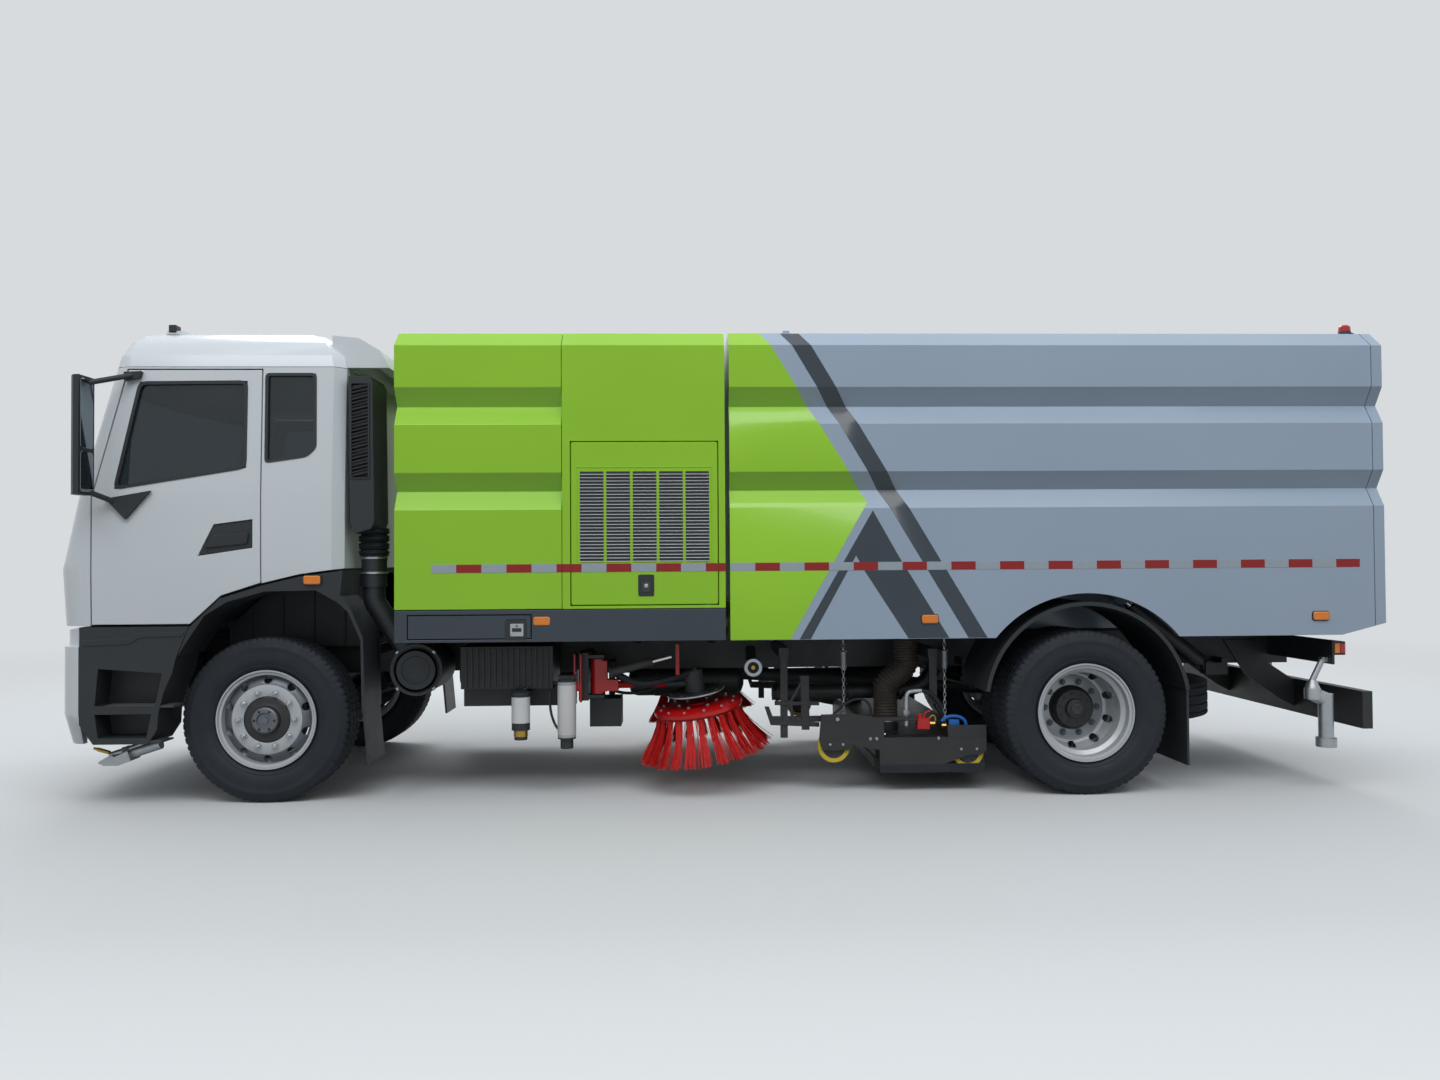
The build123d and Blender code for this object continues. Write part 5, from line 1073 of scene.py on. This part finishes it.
# Hydraulic hoses from the carrier to the brush: sagging rubber runs between short pressed ends
runs = joined(tube(curved((1974, -880, 800), (2060, -930, 770), (2237, -960, 672), (2400, -950, 690),
                          (2590, -900, 745), rounds=4), 20, 14),
              tube(curved((1990, -840, 830), (2120, -900, 700), (2280, -900, 640), (2440, -900, 700),
                          (2570, -860, 730), rounds=4), 11, 12),
              tube(curved((1960, -760, 700), (2100, -820, 600), (2300, -830, 610), (2480, -800, 700)),
                   10, 12))
for side, form in (("left", runs), ("right", mirrored(runs))):
    piece = addPiece(f"brush_hoses_{side}", form, tyreRubber, None, sharp=60)
    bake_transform(piece)
addPair("hose_roots", rod((1950, -868, 808), (1985, -885, 796), 20, 6), castIron, "brush_carrier_{}")
ends = [rod((2585, -902, 742), (2612, -890, 756), 20, 6), rod((2566, -862, 728), (2596, -852, 742), 15, 6)]
# A grey lift cylinder with a bright rod, along the boom
lift = [rod((2080, -985, 756), (2330, -985, 818), 27, 24, 5),
        rod((2070, -985, 753), (2085, -985, 757), 34, 24),
        lathe(((26, 0), (30, 2), (30, 16), (26, 18)), (2320, -985, 815), (0.97, 0, 0.24), ring=True)]
addPair("lift_cylinder", joined(*lift, *ends), castIron, "brush_boom_{}")
addPair("lift_rod", rod((2330, -985, 818), (2457, -985, 850), 13), hardChrome, "brush_boom_{}")
addPair("boom_post", block(2480, -1000, 735, 2506, -970, 930), redPaint, "brush_boom_{}")
addPiece("brush_posts", both(block(1846, -1010, 572, 1858, -900, 872),
                             block(1884, -1010, 572, 1896, -900, 872),
                             block(1850, -1006, 640, 1892, -996, 700)), redPaint)
# The brush motor's plate with its bolts, and its oil ports
plate = lathe(((0, 0), (180, 0), (186, 4), (186, 12), (176, 14), (0, 14)), (0, 0, 44), up, 64)
addPair("motor_plate", onBrush(plate), zincSteel, "brush_boom_{}")
plateBolts = copies(bolt((160, 0, 58), up, 9), roundTurns(origin, up, 8, 10))
ports = [block(-40, -46, 150, 40, 46, 196, 4), rod((58, 0, 172), (38, 0, 172), 14, 6),
         rod((-58, 0, 172), (-38, 0, 172), 14, 6)]
addPair("motor_bolts", onBrush(plateBolts, *ports), castIron, "brush_boom_{}")

# Water coupling with a bright ring, and its pipe
place = (2965, -1040, 780)
coupling = lathe(((36, 0), (54, 0), (58, 5), (58, 20), (52, 26), (36, 26)), place, ring=True)
addPiece("water_coupling", both(coupling), zincSteel)
addPiece("coupling_seal", both(lathe(((0, 12), (37, 12), (37, 30), (0, 30)), place)), tyreRubber)
addPiece("coupling_pin", both(lathe(((0, 4), (12, 4), (14, 8), (14, 14), (0, 14)), place)), brassMetal)
pipe = tube(curved((2965, -1012, 780), (2965, -900, 780), (2965, -820, 800), (2965, -760, 880)), 34, 20)
addPiece("coupling_pipe", both(pipe), chassisPaint)
# Tanks with domed ends inside the rails, and a wide water pipe behind the suction head
# The black tanks fill the dark under the body: partly air tanks, partly painted shade
tank = ((0, 0), (40, 3), (80, 18), (100, 44), (105, 70), (105, 730), (100, 756), (80, 782), (40, 797),
        (0, 800))
bands = [lathe(((105, 0), (108, 2), (108, 38), (105, 40)), (x, -230, 620), rearwards, 40, True)
         for x in (2330, 2730)]
addPiece("shade_fill_tanks", both(lathe(tank, (2150, -230, 620), rearwards, 40), *bands), chassisPaint)
wide = tube(curved((3120, -560, 565), (3500, -560, 568), (3900, -560, 572), (4120, -560, 590),
                   (4220, -540, 720), rounds=4), 50, 28)
collars = [lathe(((50, 0), (58, 3), (58, 27), (50, 30)), (x, -560, 568), rearwards, 36, True)
           for x in (3140, 3620, 3960)]
addPiece("wide_pipe", both(wide, *collars), chassisPaint)

# The spray frame ahead of the suction head: a bent lower bar, an upper bar and ties
bars = ((((3036, 532), (3064, 532), (3096, 446), (3380, 430), (3380, 402), (3074, 416)), -1004, -990),
        (((3100, 566), (3380, 560), (3380, 536), (3100, 540)), -1004, -990),
        (((3262, 724), (3318, 724), (3318, 384), (3270, 384)), -1002, -984),
        (((3120, 440), (3142, 440), (3292, 700), (3270, 700)), -1000, -988),
        (((3190, 542), (3212, 542), (3226, 438), (3204, 438)), -1003, -991))
addPiece("spray_frame", both(*[slab(*bar) for bar in bars]), chassisPaint)

print("wheel arches")
# Below the cab's floor: its outline along the truck as (behind the axle, height)
sill = ((-1000, 1085), (-407, 1085), (-220, 1256), (18, 1330), (246, 1384), (488, 1412))
under = [(x, z - 1.5) for x, z in sill] + [(x, z - 5.5) for x, z in sill[::-1]]
addPiece("cab_underside", slab(under, -1196, 1196, bevel=1), blackPlastic, "cab")
wall = ((-440, 900), (-440, 1062), (-414, 1062), (-226, 1232), (14, 1306), (244, 1360), (500, 1388),
        (500, 900))
ribs = [block(x, -577, 910, x + 14, -566, z)
        for x, z in ((-300, 1130), (-100, 1240), (100, 1300), (300, 1350))]
addPiece("arch_wall", both(slab(wall, -568, -556, bevel=3), *ribs), blackPlastic)

print("suction head")
spring = {"turns": 15, "steps": 12, "radius": 17, "wire": 3.2, "high": 872, "low": 762}
chain = {"y": -1000, "pitch": 25, "above": 935, "aboveCount": 3, "below": 745, "belowCount": 13}
# A chain hangs from the frame at each corner, with a spring in it, and holds the head. The spring is a helix:
# a circle's cosine and sine beside a height that falls evenly.
angle = np.linspace(0, 2 * np.pi * spring["turns"], spring["turns"] * spring["steps"])
helix = np.stack((spring["radius"] * np.cos(angle), chain["y"] + spring["radius"] * np.sin(angle),
                  np.linspace(spring["high"], spring["low"], len(angle))), -1)
link = lathe(((11, -3.5), (14.5, 0), (11, 3.5), (7.5, 0)), origin, steps=14, ring=True)
stretched = (link[0] * (0.75, 1, 1.35), link[1])
crossed = copies(stretched, turns(origin, up, 90))
heights = [chain["above"] - chain["pitch"] * k for k in range(chain["aboveCount"])]
heights += [chain["below"] - chain["pitch"] * k for k in range(chain["belowCount"])]
for side, form in (("left", lambda shape: shape), ("right", mirrored)):
    for end, x in (("front", 3535), ("rear", 4175)):
        links = [copies(stretched if k % 2 else crossed, moves((x, chain["y"], z)))
                 for k, z in enumerate(heights)]
        hung = form(joined(tube(helix + (x, 0, 0), spring["wire"], 6), *links))
        piece = addPiece(f"head_chain_{end}_{side}", hung, zincSteel, None)
        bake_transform(piece)
headParts = {
    redPaint: [
        block(3993, -1030, 380, 4074, -985, 452, 5, 6), rod((4010, -1008, 450), (4010, -1008, 478), 15),
        bend(-1008, ((4040, 452), (4040, 480), (4085, 500)), 6, 8)],
    bluePlastic: [
        bend(-1007, ((4152, 428), (4180, 458), (4250, 462), (4296, 440), (4306, 405)), 11, 10),
        block(4196, -1020, 402, 4262, -994, 440, 5, 6)],
    brassMetal: [
        rod((4150, -1007, 402), (4180, -1007, 402), 13, 6),
        rod((4074, -1007, 416), (4110, -1007, 416), 12, 6),
        bend(-1008, ((4066, 440), (4090, 470), (4110, 462), (4112, 430)), 5, 8)],
    zincSteel: [
        bend(-985, ((3932, 400), (3932, 560), (3938, 606), (3965, 618), (4030, 620)), 15, 16, 4),
        rod((3932, -985, 470), (3932, -985, 500), 22, 6)],
    tyreRubber: [
        bend(-985, ((4030, 620), (4080, 612), (4150, 540), (4176, 460), (4178, 390)), 13, 14),
        bend(-1000, ((3470, 480), (3560, 560), (3650, 580), (3700, 540), (3710, 470)), 8, 10)],
    chassisPaint: [
        slab(((3372, 330), (3385, 486), (3600, 486), (3780, 455), (3780, 300), (3600, 300), (3552, 262),
              (3392, 262)), -1042, -1052),
        slab(((4176, 410), (4424, 410), (4424, 250), (4380, 222), (4190, 222)), -1042, -1053),
        block(3600, -1050, 440, 3990, -1006, 462), block(3600, -1050, 360, 3620, -1006, 460)],
    hardChrome: [
        rod((3567, -1030, 356), (3700, -1030, 356), 18, 24), rod((3700, -1030, 356), (3792, -1030, 356), 8)],
}
for material, shapes in headParts.items():
    addPiece(f"head_{material.name}", both(*shapes), material, "suction_head")
places = ((4262, 262), (4360, 262), (3692, 330), (3732, 330), (3488, 455), (3440, 300), (3520, 300),
          (4120, 330))
addPiece("head_bolts", both(*[bolt((x, -1052, z), leftwards) for x, z in places]), zincSteel, "suction_head")
skirt = slab(softOutline(((3752, 172), (4408, 172), (4408, 118), (3752, 118)), 5), -1046, -1058)
addPiece("head_skirt", both(skirt), tyreRubber, "suction_head")

print("front nozzle and pipes")
bracket = softOutline(((-955, 290), (-1034, 246), (-1030, 232), (-880, 236), (-900, 262)), 6)
nozzle = joined(bend(-1000, ((-772, 464), (-772, 370), (-790, 340), (-979, 278)), 21, 20, 4),
                lathe(((22, 0), (30, 4), (30, 40), (22, 46)), (-860, -1000, 316), (-0.95, 0, -0.31), 6),
                slab(bracket, -1045, -955, bevel=3))
addPiece("front_nozzle", both(nozzle), zincSteel)
addPiece("brass_nozzle", both(rod((-985, -1000, 296), (-1060, -1000, 318), 12, 12),
                              rod((-1060, -1000, 318), (-1082, -1000, 324), 8)), brassMetal)

print("roof and beacon")
place = (6738, -1078, 2849)
base = lathe(((0, 0), (52, 0), (52, 10), (38, 16), (36, 26), (0, 26)), place, up)
lens = lathe(((0, 24), (35, 24), (36, 30), (33, 56), (22, 66), (0, 69)), place, up, 40)
addPiece("beacon_base", base, blackPlastic, "hopper")
addPiece("beacon_lens", lens, redLens, "hopper")
vents = [lathe(((0, 0), (52, 0), (52, 12), (36, 22), (0, 24)), (x, -1000, 2850), up, 32)
         for x in (3691, 5972)]
addPiece("roof_vents", both(*vents), silverEnamel, "hopper")

print("rear")
# Lamps on the box's rear face, from the inside outwards, and lenses round its corner
for number, (material, y0, y1) in enumerate(((redLens, 1050, 1096), (amberLens, 1099, 1142),
                                             (clearLens, 1145, 1190))):
    lamp = slab(rectangle(-y1, 842, -y0, 918, 8), 6633, 6644, "yz", 3)
    addPiece(f"tail_lamp_{number}", both(lamp), material)
addPiece("side_lens_red", both(block(6602, -1202, 850, 6632, -1193, 912, 2)), redLens)
addPiece("side_lens_amber", both(block(6568, -1202, 850, 6599, -1193, 912, 2)), amberLens)
addPiece("rear_plate", slab(rectangle(-230, 640, 230, 780, 14), 6701, 6706, "yz"), whiteEnamel)
addPiece("locker_latch", block(1462, -1252, 984, 1594, -1243, 1096, 2, 10), blackPlastic, "locker_lid")
addPiece("locker_key", block(1494, -1256, 1002, 1574, -1250, 1078, 2, 6), zincSteel, "locker_lid")
addPiece("locker_grip", joined(block(1506, -1259, 1030, 1562, -1254, 1052, 2),
                               rod((1534, -1254, 1064), (1534, -1259, 1064), 6)), blackPlastic, "locker_lid")
